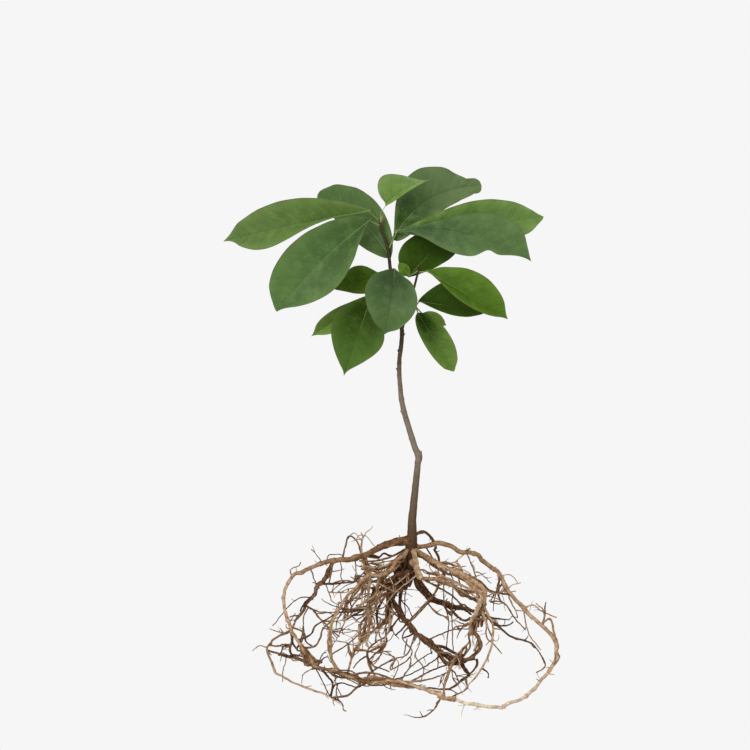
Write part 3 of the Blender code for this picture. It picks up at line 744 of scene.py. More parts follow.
# %% The main roots
ROOT_RING_STEP = 1.15
ROOT_FINE_SIDES = 12
KINK = 0.8
KINK_WAVE = 9.0
TURN_SPACING = 13.0
TURN = 1.5
SWELLING_SPACING = 17.0
FREE_TIP = 30.0
FLARE = 0.30
FLARE_LENGTH = 32.0
TURN_CLEAR = 4.0
KINK_FREE_END = 12.0
SHRUNK = 0.88
SWELLING_HEIGHT = (0.08, 0.36)
SWELLING_LENGTH = (0.8, 2.6)
SWELL_MOST = 0.5
# Shares of the thickness, and their waves along the root in millimetres.
RINGED = (0.05, 1.6)
UNEVEN = (0.16, 17.0)
TIP_LEFT = 0.2
# How large the lumps of a root's skin are, and their depth as a share of its thickness.
ROOT_RELIEF = [(4.5, 0.06), (1.3, 0.032)]
JOINED_ENDS = {"root_tap", "root_left_front"}
RUNS = {
    "outer_left": ["root_left", "root_left_edge", "root_front"],
    "outer_right": ["root_right", "root_right_ring"],
    "bend": ["root_bent", "root_bent_down"],
    "middle": ["root_middle", "root_middle_right"],
}
ALONE = [name for name in ROOTS if not any(name in run for run in RUNS.values())]
skinned = {}


def toned(piece, lines_and_tones):
    """Writes the tone of its skin into a piece's map. Each point takes that of the nearest line."""
    points = [
        (place, first + (last - first) * i / (len(line) - 1))
        for line, (first, last) in lines_and_tones for i, (place, _) in enumerate(line)
    ]
    tree = kdtree.KDTree(len(points))
    for i, (place, _) in enumerate(points):
        tree.insert(at(place), i)
    tree.balance()
    mesh = piece.data
    skin_tones = [points[tree.find(vertex.co)[1]][1] for vertex in mesh.vertices]
    skin_map = mesh.uv_layers.new(name="skin")
    for loop in mesh.loops:
        skin_map.data[loop.index].uv = (skin_tones[loop.vertex_index], 0.5)


def scatter(rng):
    """A random step in any direction."""
    return Vector((rng.uniform(-1, 1), rng.uniform(-1, 1), rng.uniform(-1, 1)))


def turned(course, rng, step):
    """The course with small sharp turns, which a root keeps from the stones it grew round."""
    length = step * (len(course) - 1)
    count = max(2, round(length / TURN_SPACING))
    turns = [rng.uniform(TURN_CLEAR, length - TURN_CLEAR) for _ in range(count)]
    places = sorted([0.0, length, *turns])
    steps_aside = [Vector((0, 0, 0)), *(scatter(rng) * TURN for _ in range(count)), Vector((0, 0, 0))]
    made = []
    for i, (place, thickness) in enumerate(course):
        along = min(i * step, length - 0.001)
        k = max(n for n, there in enumerate(places[:-1]) if there <= along)
        share = (along - places[k]) / max(0.01, places[k + 1] - places[k])
        made.append((place + steps_aside[k].lerp(steps_aside[k + 1], share), thickness))
    return made


def skinned_line(name, course, tapered, flared):
    """A root's line with turns, kinks, swellings, wrinkles and a rounded or pointed end."""
    rng = random.Random(name)
    course = turned(course, rng, ROOT_RING_STEP)
    length = ROOT_RING_STEP * (len(course) - 1)
    swellings = [
        (rng.uniform(0, length), rng.uniform(*SWELLING_HEIGHT), rng.uniform(*SWELLING_LENGTH))
        for _ in range(int(length / SWELLING_SPACING) + 1)
    ]
    seed = rng.uniform(0, 50)
    made = []
    for i, (place, thickness) in enumerate(course):
        along = i * ROOT_RING_STEP
        swell = sum(high * math.exp(-(((along - where) / wide) ** 2)) for where, high, wide in swellings)
        wrinkle = RINGED[0] * noise.noise(Vector((along / RINGED[1], seed, 0)))
        uneven = UNEVEN[0] * noise.noise(Vector((along / UNEVEN[1], seed, 9)))
        ends = min(1.0, along / KINK_FREE_END, (length - along) / KINK_FREE_END)
        place = place + drift_at(place, seed, KINK_WAVE) * KINK * ends
        thickness *= SHRUNK * (1 + min(SWELL_MOST, swell) + wrinkle + uneven)
        if flared:
            thickness *= 1 + FLARE * math.exp(-((along / FLARE_LENGTH) ** 2))
        if tapered:
            thickness *= min(1.0, TIP_LEFT + (1 - TIP_LEFT) * (length - along) / FREE_TIP)
        thickness *= rounded_end(length - along + 0.05, thickness)
        place.z = max(place.z, thickness / 2)
        made.append((place, thickness))
    return made


def root_mesh(name, members):
    """One run of root as a mesh, with the tone of its skin, standing for its members' solids."""
    ends = [0]
    guides = []
    for member in members:
        guides += [(*p, t) for p, t in lines[member]][1 if guides else 0:]
        ends.append(len(guides) - 1)
    course = limb_line(guides, ROOT_RING_STEP)
    tapered = len(members) == 1 and name not in JOINED_ENDS
    line = skinned_line(name, course, tapered, members[0] == "root_left")
    made = tubes(name + "_skin", [line], ROOT_FINE_SIDES)
    parts = []
    for first, last, member in zip(ends, ends[1:], members):
        a, b = [round(end / ends[-1] * (len(line) - 1)) for end in (first, last)]
        skinned[member] = line[a:b + 1]
        parts.append((skinned[member], ROOTS[member]["skin_tones"]))
    toned(made, parts)
    for size, share in ROOT_RELIEF:
        relieved(made, size, share * ROOTS[members[0]]["thickness"][0])
    smooth(made)
    dressed(made, "root", ROOT_SKIN, *members)


for name, members in [*RUNS.items(), *((name, [name]) for name in ALONE)]:
    root_mesh(name, members)
print("rings on the main roots:", sum(len(line) for line in skinned.values()))

# %% [markdown]
# ## The fine roots
#
# Between the main roots hang masses of fine ones. Their solids follow a seeded rule: a stem of fine
# root wanders off its carrier, keeps clear of every limb, and sends out twigs. The same rule with the
# same seeds draws them again here. From each twig grow finer roots, and from those hairs, each
# thinner and more curled than what carries it.

# %% The rule for a mass of fine roots
def fibre_mass(on, start, towards, reach, twigs):
    """A mass of fine roots: what carries it, where it starts, its heading, its reach, its count of twigs."""
    return {"on": on, "from": start, "towards": towards, "reach": reach, "twigs": twigs}


FIBRES = {
    "fibres_heart": fibre_mass("root_left_front", (-40, -42, 103), (-0.1, -1.0, -0.6), 78, 16),
    "fibres_left": fibre_mass("root_left_drop", (-80, -64, 106), (0.1, -1.0, -0.9), 62, 11),
    "fibres_top": fibre_mass("root_left", (-62, -17, 86), (-0.3, 1.0, -0.3), 30, 3),
    "fibres_low_left": fibre_mass("root_left_inner", (-133, -84, 32), (0.6, -0.7, 0.4), 66, 10),
    "fibres_bend": fibre_mass("root_bent_down", (84, -94, 99), (-1.0, -0.35, -0.35), 44, 9),
    "fibres_knot": fibre_mass("root_tap", (30, -137, 42), (0.5, -0.75, 1.0), 60, 10),
    "fibres_right": fibre_mass("root_right", (114, -44, 73), (0.1, -1.0, -0.65), 60, 10),
    "fibres_ring": fibre_mass("root_right", (163, -104, 83), (0.15, 1.0, 0.1), 34, 3),
    "fibres_back": fibre_mass("root_back_left", (-34, -46, 42), (0.3, -1.0, 0.2), 74, 11),
    "fibres_tap": fibre_mass("root_tap", (-18, -88, 56), (-0.7, -0.9, 0.3), 62, 11),
}
FIBRE_THICKNESS = 2.4
FIBRE_STEP = 10.5
FIBRE_TURN = 0.42
FIBRE_TRIES = 16
FIBRE_TURN_MORE = 0.25
FIBRE_CHECKS = (0.34, 0.67, 1.0)
THINNED = 0.5
FIRST_TWIGS = 0.6
TWIG_SHARE = 0.52
TWIG_LENGTH = (0.6, 1.1)
TWIG_THICKNESS = 0.85
TWIG_LEAN = 0.7
FIBRE_CLEARANCE = 1.2
FIRST_SEED = 3


class Keepout:
    """Balls along every limb laid so far, which a fibre may not come near."""

    def __init__(self):
        self.balls = []

    def add(self, owner, line):
        """Adds a limb's balls, under its owner's name."""
        self.balls += [(owner, place, thickness / 2) for place, thickness in line]

    def free(self, place, radius, but=None):
        """Whether a place is clear of every owner but one."""
        for owner, centre, size in self.balls:
            if owner != but and (centre - place).length < size + radius + FIBRE_CLEARANCE:
                return False
        return True


def wander(rng, start, heading, length, thickness, keepout, carrier):
    """A fibre that strays step by step, turns from what is in its way, and stops where it can't."""
    place, heading = Vector(start), Vector(heading).normalized()
    line = [(place.copy(), thickness)]
    steps = max(2, round(length / FIBRE_STEP))
    for i in range(steps):
        size = thickness * (1 - THINNED * (i + 1) / steps)
        for attempt in range(FIBRE_TRIES):
            stray = scatter(rng) * FIBRE_TURN * (1 + attempt * FIBRE_TURN_MORE)
            way = (heading + stray).normalized()
            reached = place + way * FIBRE_STEP
            reached.z = max(reached.z, size / 2)
            span = [place.lerp(reached, share) for share in FIBRE_CHECKS]
            if all(keepout.free(p, size / 2, carrier if i < 2 else None) for p in span):
                break
        else:
            break
        place, heading = reached, way
        line.append((place.copy(), size))
    return line


def fibre_lines(spec, seed, keepout):
    """A stem of fine root and the twigs that branch off it."""
    rng = random.Random(seed)
    stem_length, count = spec["reach"], spec["twigs"]
    drawn = [wander(rng, spec["from"], spec["towards"], stem_length, FIBRE_THICKNESS, keepout, spec["on"])]
    for number in range(count):
        parent = drawn[0] if number < count * FIRST_TWIGS else rng.choice(drawn)
        if len(parent) < 3:
            continue
        joint = rng.randrange(1, len(parent) - 1) if len(parent) > 3 else 1
        start, thickness = parent[joint]
        way = (parent[joint + 1][0] - parent[joint - 1][0]).normalized()
        aside = way.cross(scatter(rng)).normalized()
        length = stem_length * TWIG_SHARE * rng.uniform(*TWIG_LENGTH)
        twig = wander(rng, start, way * TWIG_LEAN + aside, length, thickness * TWIG_THICKNESS, keepout, None)
        if len(twig) > 2:
            drawn.append(twig)
    return drawn


keepout = Keepout()
for name, line in lines.items():
    keepout.add(name, fine_line(line))
fibres = {}
for seed, (name, spec) in enumerate(FIBRES.items(), start=FIRST_SEED):
    fibres[name] = fibre_lines(spec, seed, keepout)
    for line in fibres[name]:
        keepout.add(name, fine_line(line))
print({name: len(drawn) for name, drawn in fibres.items()})

# %% [markdown]
# ### Finer roots and hairs
#
# Hundreds of small things are one mesh from one curve object with many splines, because a thousand
# objects would be slow. A fine root keeps turning the way it was turning, with a little chance in it,
# so it curls instead of shaking. Whatever would leave the plant's own box stops short.

# %% Finer roots
HAIR_STEP = 3.0
HAIR_CURL = 0.44
HAIR_KEEP = 0.84
HAIR_CHANCE = 0.6
HAIR_SIDES = 4
BOX_SPARE = 3.0 * MM
FIBRE_FULLNESS = 1.2
LAID_THICKNESS = 1.2
FALL = Vector((0, -0.35, -0.1))
BARE_MASSES = ("fibres_right", "fibres_ring", "fibres_top")
BARE_PALER = 0.14
# How fine roots leave a line: how far apart, the longest and the thickest of them, in millimetres.
HAIRS_ON = {
    "mass": (95, 22, 1.8),
    "bare mass": (120, 12, 1.8),
    "hair": (60, 9, 1.1),
    "strand": (85, 12, 1.3),
    "net": (130, 10, 1.3),
    "rootlet": (50, 10, 1.1),
}
HAIR_LEAN = 0.9
CARRIER_SHARE = 0.8
# Least and most, as shares of the longest and the thickest.
HAIR_LENGTH = (0.2, 1.0)
HAIR_THICKNESS = (0.5, 1.0)
FINE_STEP = 2.2
FINE_KINK_WAVE = 6.0
# Unevenness of a fine root's thickness: its share, and its wave in millimetres.
FINE_UNEVEN = (0.25, 4.0)
MASS_SEED = 100
MASS_KINK = 1.3
MASS_AGE = (0.34, 0.70)


def inside(place):
    """Whether a place lies within the solids' box, or only a little outside it."""
    spot = at(place)
    return all(cad_box[0][i] - BOX_SPARE < spot[i] < cad_box[1][i] + BOX_SPARE for i in range(3))


def hair(rng, start, heading, length, thickness):
    """A fine root that sets off along its heading, curls, and thins to its tip."""
    place, heading = Vector(start), Vector(heading).normalized()
    bend = scatter(rng) * HAIR_CURL
    steps = max(3, round(length / HAIR_STEP))
    line = [(place.copy(), thickness)]
    for i in range(steps):
        bend = bend * HAIR_KEEP + scatter(rng) * HAIR_CURL * HAIR_CHANCE
        heading = (heading + bend).normalized()
        size = thickness * (1 - THINNED * (i + 1) / steps)
        place = place + heading * HAIR_STEP
        place.z = max(place.z, size / 2)
        if not inside(place):
            break
        line.append((place.copy(), size))
    return line


def offshoots(rng, line, spacing, longest, thickest, fall=FALL):
    """Hairs that leave a line every so many millimetres, each aside from it and a little with the fall."""
    grown = []
    length = sum((b[0] - a[0]).length for a, b in zip(line, line[1:]))
    for _ in range(int(length / spacing + rng.random()) if len(line) > 3 else 0):
        index = rng.randrange(1, len(line) - 1)
        start, thickness = line[index]
        way = (line[index + 1][0] - line[index - 1][0]).normalized()
        aside = way.cross(scatter(rng)).normalized()
        heading = aside + way * rng.uniform(0.0, HAIR_LEAN) + fall
        size = min(thickness * CARRIER_SHARE, thickest * rng.uniform(*HAIR_THICKNESS))
        made = hair(rng, start, heading, longest * rng.uniform(*HAIR_LENGTH), size)
        if len(made) > 2:
            grown.append(made)
    return grown


def curled(line, seed, kink):
    """A fibre's line drawn finely, with kinks this deep between its points."""
    made = []
    for i, (place, thickness) in enumerate(limb_line([(*p, t) for p, t in line], FINE_STEP)):
        place = place + drift_at(place, seed, FINE_KINK_WAVE) * kink * min(1.0, i / 4)
        thickness *= 1 + FINE_UNEVEN[0] * noise.noise(place / FINE_UNEVEN[1])
        place.z = max(place.z, thickness / 2)
        made.append((place, thickness))
    return made


laid = [place for line in skinned.values() for place, _ in line[::3]]


def fine_roots(name, drawn, skin_tones, *nodes):
    """Lines of fine root as one mesh, with the tones of their skins."""
    laid.extend(place for line in drawn if line[0][1] > LAID_THICKNESS for place, _ in line[::2])
    made = tubes(name, drawn, HAIR_SIDES)
    toned(made, list(zip(drawn, skin_tones)))
    smooth(made, 80)
    dressed(made, "root", ROOT_SKIN, *nodes)
    print(name, len(drawn), "fine roots,", len(made.data.polygons), "faces")


for number, (name, drawn) in enumerate(fibres.items()):
    rng = random.Random(MASS_SEED + number)
    thick = [curled(line, number + 0.5 * i, MASS_KINK) for i, line in enumerate(drawn)]
    thick = [line for line in thick if len(line) > 3]
    bare = name in BARE_MASSES
    habit = HAIRS_ON["bare mass" if bare else "mass"]
    middle = [h for line in thick for h in offshoots(rng, line, *habit)]
    thin = [h for line in middle for h in offshoots(rng, line, *HAIRS_ON["hair"])]
    every = [[(p, t * FIBRE_FULLNESS) for p, t in line] for line in thick] + middle + thin
    skin_tones = [2 * [BARE_PALER * bare + rng.uniform(*MASS_AGE)] for _ in every]
    fine_roots(name + "_rootlets", every, skin_tones, name)

# %% [markdown]
# ### Strands that stand alone
#
# Some fine roots cross open spaces and are as plain to see as the main ones, so each is placed by a
# few guides. They are grouped by where they hang, and each group is one table and one mesh. A row
# holds the name of what the strand leaves, short of "root_" and empty where it leaves nothing, then
# the tone of its skin, its thickness and its course. A strand carries a few hairs.

# %% The rule for a strand
STRAND_TAPER = 0.2
STRAND_FULLNESS = 1.22
STRAND_LEAST = 1.2
STRAND_KINK = 0.7
STRAND_AGE_CHANCE = 0.12
SEEDS_APART = 0.7
HAIR_OLDER = 0.05


def strand_line(strand, seed):
    """A strand's line, from the axis of the root it leaves if it leaves one, thinning on its way."""
    carrier, _, thickness, *course = strand
    places = [Vector(p) for p in course]
    if carrier:
        places[0] = nearest_on(skinned.get("root_" + carrier, lines["stem"]), places[0])
    last = len(places) - 1
    thickness = max(STRAND_LEAST, thickness * STRAND_FULLNESS)
    guides = [(p, thickness * (1 - STRAND_TAPER * i / last)) for i, p in enumerate(places)]
    return curled(guides, seed, STRAND_KINK)


def strand_group(name, strands, seed):
    """The strands of one table and their hairs, as one mesh."""
    rng = random.Random(seed)
    drawn = [strand_line(strand, seed + SEEDS_APART * i) for i, strand in enumerate(strands)]
    skin_tones = []
    for _, skin_tone, *_ in strands:
        skin_tones.append((SKIN_TONE_LABELS[skin_tone], SKIN_TONE_LABELS[skin_tone] + rng.uniform(-STRAND_AGE_CHANCE, STRAND_AGE_CHANCE)))
    for line, (skin_tone, _) in zip(list(drawn), list(skin_tones)):
        grown = offshoots(rng, line, *HAIRS_ON["strand"])
        drawn += grown
        skin_tones += [(skin_tone, skin_tone - HAIR_OLDER)] * len(grown)
    fine_roots(name, drawn, skin_tones)


# %% Strands above the roots on the left
STRANDS_ABOVE_LEFT = [
    ("left", "brown", 1.9, (-87, -18, 89), (-82, -2, 80), (-79, 6, 78), (-73, 4, 78), (-67, -4, 80),
     (-64, -14, 86)),
    ("", "dark", 0.9, (-80, 3, 78), (-75, 9, 76), (-71, 10, 74), (-68, 6, 72)),
    ("", "tan", 0.8, (-70, 0, 79), (-66, 7, 77), (-57, 6, 77), (-47, -6, 82)),
    ("left", "brown", 1.1, (-112, -25, 92), (-120, -16, 85), (-126, -10, 80)),
    ("left", "brown", 1.3, (-107, -25, 92), (-104, -17, 90), (-94, -16, 89), (-86, -17, 88)),
    ("left", "brown", 1.4, (-150, -43, 94), (-152, -36, 91), (-149, -33, 89), (-141, -30, 86),
     (-139, -26, 84)),
]
strand_group("strands_above_left", STRANDS_ABOVE_LEFT, 1)

# %% Strands on the left
STRANDS_LEFT = [
    ("left", "brown", 1.5, (-127, -33, 93), (-124, -40, 89), (-123, -46, 85), (-120, -51, 82)),
    ("left", "brown", 1.2, (-90, -21, 89), (-88, -34, 86), (-89, -44, 85), (-87, -48, 84)),
    ("left", "brown", 1.2, (-72, -18, 88), (-70, -32, 81), (-71, -46, 74), (-75, -53, 70)),
    ("left_inner", "dark", 1.2, (-133, -68, 43), (-141, -73, 43), (-157, -86, 43), (-175, -109, 44)),
    ("left_low", "tan", 1.2, (-183, -138, 22), (-192, -135, 22), (-198, -139, 22), (-201, -142, 22)),
    ("left_inner", "dark", 2.3, (-114, -54, 60), (-102, -54, 68), (-88, -52, 84), (-70, -49, 105)),
    ("left_edge", "dark", 2.0, (-138, -118, 108), (-127, -115, 108), (-121, -105, 108), (-113, -99, 108),
     (-100, -92, 108), (-92, -85, 108)),
    ("left_edge", "brown", 2.1, (-133, -129, 110), (-121, -129, 110), (-114, -119, 109),
     (-111, -108, 109), (-100, -96, 109), (-92, -84, 108)),
    ("left_drop", "tan", 1.2, (-88, -75, 107), (-89, -64, 104), (-81, -59, 101), (-69, -58, 98),
     (-62, -62, 96)),
    ("left_drop", "brown", 1.2, (-92, -87, 109), (-107, -88, 99), (-120, -90, 89), (-124, -85, 84)),
    ("left_drop", "dark", 1.1, (-93, -79, 107), (-107, -76, 96), (-113, -71, 90)),
    ("left_inner", "brown", 1.2, (-106, -53, 64), (-102, -68, 86), (-100, -74, 94), (-92, -78, 107)),
    ("left_low", "dark", 1.9, (-99, -189, 78), (-96, -179, 82), (-85, -177, 87), (-69, -182, 84),
     (-60, -176, 100)),
    ("left_low", "brown", 2.4, (-99, -194, 80), (-81, -191, 98), (-70, -181, 112), (-61, -170, 125),
     (-55, -165, 133)),
    ("left_low", "dark", 1.5, (-99, -195, 80), (-92, -199, 77), (-87, -205, 74), (-86, -211, 72),
     (-82, -213, 70)),
    ("front", "dark", 1.5, (-122, -154, 118), (-119, -157, 115), (-113, -170, 101), (-107, -184, 88),
     (-102, -195, 78)),
    ("front", "dark", 2.3, (-114, -155, 120), (-103, -169, 104), (-99, -176, 97), (-100, -188, 86),
     (-101, -195, 80)),
    ("wave", "brown", 1.1, (-159, -147, 33), (-159, -155, 38), (-162, -164, 43), (-162, -178, 51)),
    ("front", "brown", 1.2, (-125, -153, 118), (-135, -165, 87), (-138, -179, 62)),
    ("left_inner", "dark", 2.2, (-129, -66, 45), (-134, -79, 38), (-141, -91, 22)),
    ("left_edge", "brown", 2.0, (-144, -103, 104), (-135, -112, 104), (-132, -123, 104),
     (-124, -129, 104)),
    ("", "brown", 1.5, (-130, -85, 50), (-134, -92, 54), (-136, -98, 57), (-136, -111, 64)),
    ("left_inner", "brown", 1.8, (-144, -96, 16), (-150, -97, 26), (-154, -98, 34)),
    ("left", "brown", 1.8, (-97, -32, 91), (-102, -44, 87), (-104, -54, 84)),
    ("left_edge", "brown", 3.0, (-150, -109, 104), (-150, -125, 78), (-153, -137, 57), (-150, -148, 38)),
    ("left_low", "brown", 1.8, (-175, -140, 20), (-169, -135, 31), (-163, -132, 41), (-153, -132, 56)),
    ("", "dark", 2.2, (-153, -131, 56), (-161, -134, 48), (-165, -144, 39), (-168, -146, 36)),
    ("", "dark", 2.2, (-150, -126, 70), (-143, -135, 91), (-137, -135, 100)),
    ("left_edge", "brown", 4.8, (-139, -129, 110), (-135, -140, 107), (-129, -147, 111),
     (-124, -150, 118)),
    ("left_edge", "brown", 4.4, (-136, -132, 110), (-125, -142, 111), (-119, -147, 114),
     (-112, -148, 119)),
    ("wave", "brown", 3.4, (-148, -154, 40), (-134, -150, 79), (-121, -148, 118)),
    ("", "tan", 1.8, (-163, -144, 22), (-154, -148, 35), (-148, -152, 46), (-140, -150, 56)),
    ("left_drop", "tan", 3.4, (-97, -94, 110), (-101, -103, 109), (-101, -127, 112), (-100, -144, 117),
     (-89, -160, 127)),
    ("front", "dark", 1.6, (-116, -146, 118), (-111, -144, 114), (-105, -142, 110)),
    ("front", "dark", 1.3, (-118, -144, 118), (-111, -138, 114), (-106, -137, 112)),
    ("front", "dark", 1.3, (-101, -160, 125), (-96, -162, 130), (-91, -165, 127)),
    ("", "dark", 1.3, (-97, -173, 100), (-94, -168, 112), (-88, -164, 127)),
]
strand_group("strands_left", STRANDS_LEFT, 20)

# %% Strands in the middle
STRANDS_MIDDLE = [
    ("left_drop", "tan", 1.3, (-100, -122, 113), (-84, -124, 108), (-72, -128, 104), (-59, -125, 100)),
    ("left_drop", "brown", 1.5, (-98, -139, 111), (-75, -123, 98), (-61, -107, 87), (-53, -93, 80)),
    ("back_left", "tan", 2.6, (-57, -96, 20), (-64, -105, 60), (-65, -124, 90), (-73, -136, 105),
     (-78, -154, 120), (-82, -164, 127)),
    ("tap", "brown", 1.9, (-21, -98, 54), (-34, -120, 74), (-43, -124, 84), (-56, -136, 101),
     (-54, -152, 118), (-46, -164, 133)),
    ("front", "brown", 1.9, (-57, -166, 132), (-53, -162, 124), (-37, -153, 101), (-21, -147, 80),
     (-5, -142, 59), (4, -117, 46)),
    ("front", "brown", 1.1, (-27, -166, 135), (-18, -156, 118), (-20, -145, 102), (-35, -140, 81),
     (-42, -139, 71), (-26, -139, 60)),
    ("front", "brown", 1.5, (-15, -171, 135), (-6, -159, 106), (7, -150, 78), (26, -141, 42)),
    ("front", "brown", 2.0, (-6, -172, 135), (4, -169, 118), (23, -162, 82), (47, -157, 39)),
    ("front", "brown", 1.8, (-10, -171, 135), (0, -172, 117), (23, -172, 79), (46, -167, 39)),
    ("middle_right", "brown", 2.0, (32, -52, 99), (28, -65, 89), (15, -80, 74), (-5, -103, 52)),
    ("middle_right", "brown", 1.4, (38, -54, 99), (39, -63, 93), (41, -81, 80), (46, -102, 66),
     (43, -139, 40)),
    ("middle_right", "brown", 1.4, (50, -57, 97), (50, -73, 88), (50, -98, 74), (52, -141, 50)),
    ("tap", "brown", 1.6, (19, -127, 45), (39, -116, 64), (55, -110, 77), (70, -109, 89)),
    ("front", "tan", 3.0, (-92, -160, 126), (-67, -168, 130), (-43, -166, 132), (-15, -171, 134),
     (15, -180, 134), (36, -184, 133)),
    ("front", "pale", 2.6, (-50, -171, 134), (-22, -169, 139), (3, -176, 139), (24, -184, 136),
     (38, -187, 133)),
    ("front", "brown", 2.2, (-81, -158, 127), (-50, -160, 131), (-25, -168, 133), (-6, -176, 134),
     (15, -178, 134)),
    ("", "pale", 1.1, (-4, -40, 84), (-11, -46, 86), (-23, -55, 89), (-34, -60, 91), (-44, -66, 93),
     (-55, -72, 95), (-64, -78, 97)),
    ("middle", "pale", 1.3, (4, -42, 92), (-4, -50, 92), (-13, -56, 93), (-25, -68, 93), (-32, -78, 94)),
    ("left_front", "pale", 1.1, (-29, -42, 102), (-25, -49, 98), (-23, -63, 92)),
    ("left_front", "tan", 2.7, (-52, -40, 104), (-54, -60, 98), (-55, -83, 90), (-51, -100, 85),
     (-45, -115, 80)),
    ("", "tan", 2.1, (-40, -63, 97), (-53, -71, 96), (-64, -79, 94), (-71, -85, 93), (-80, -95, 92)),
    ("", "tan", 2.2, (-55, -71, 98), (-67, -80, 97), (-82, -89, 96)),
    ("", "dark", 1.9, (-58, -84, 84), (-69, -90, 84), (-79, -96, 84)),
    ("left_drop", "dark", 1.9, (-87, -83, 107), (-69, -85, 94), (-56, -82, 84)),
    ("left_drop", "dark", 1.9, (-92, -87, 109), (-75, -87, 97), (-64, -85, 90), (-56, -83, 84)),
    ("", "dark", 1.9, (-82, -98, 82), (-74, -93, 81), (-65, -92, 81), (-56, -89, 80)),
    ("", "tan", 2.5, (-66, -103, 86), (-66, -114, 92), (-66, -123, 98), (-66, -134, 104)),
    ("", "tan", 2.3, (-53, -101, 80), (-54, -113, 90), (-57, -124, 100), (-56, -129, 104)),
    ("", "dark", 1.8, (-58, -108, 76), (-59, -117, 86), (-56, -129, 100)),
    ("", "brown", 3.0, (-74, -134, 104), (-66, -134, 104), (-53, -135, 104)),
    ("", "brown", 2.2, (-32, -109, 78), (-33, -118, 84), (-32, -125, 89), (-39, -136, 98)),
    ("", "brown", 2.4, (-31, -75, 90), (-32, -83, 86), (-33, -96, 80), (-36, -105, 76)),
    ("tap", "dark", 3.6, (-23, -69, 61), (-27, -81, 65), (-29, -93, 64), (-26, -114, 52)),
    ("", "dark", 1.3, (-16, -67, 72), (-12, -77, 67), (-6, -82, 64), (1, -97, 56)),
    ("", "dark", 1.3, (-8, -64, 72), (-9, -75, 67), (-8, -97, 56)),
    ("", "brown", 2.2, (-34, -97, 78), (-39, -104, 79), (-41, -109, 80)),
    ("tap", "dark", 2.0, (-10, -109, 52), (-15, -114, 63), (-21, -118, 76)),
    ("tap", "dark", 1.8, (2, -119, 48), (-6, -121, 55), (-11, -123, 60)),
    ("", "dark", 1.4, (-6, -124, 60), (-8, -132, 69), (-10, -142, 80)),
    ("", "brown", 1.4, (-53, -136, 104), (-43, -138, 102), (-33, -136, 99), (-21, -146, 96)),
    ("", "brown", 1.7, (-54, -146, 110), (-47, -153, 116), (-37, -156, 123), (-29, -159, 128)),
    ("", "dark", 1.6, (-58, -142, 104), (-66, -147, 112), (-73, -155, 120)),
    ("", "dark", 2.2, (-56, -136, 104), (-54, -146, 113), (-48, -161, 128)),
    ("", "pale", 1.8, (-81, -93, 99), (-83, -98, 99), (-85, -102, 99)),
    ("front", "tan", 3.0, (-47, -162, 134), (-39, -168, 136), (-31, -173, 138), (-14, -176, 138),
     (2, -178, 135)),
    ("front", "tan", 2.5, (-33, -165, 135), (-21, -170, 140), (-6, -175, 135)),
    ("front", "tan", 2.4, (-18, -167, 135), (2, -170, 137), (15, -169, 134)),
]
strand_group("strands_middle", STRANDS_MIDDLE, 40)

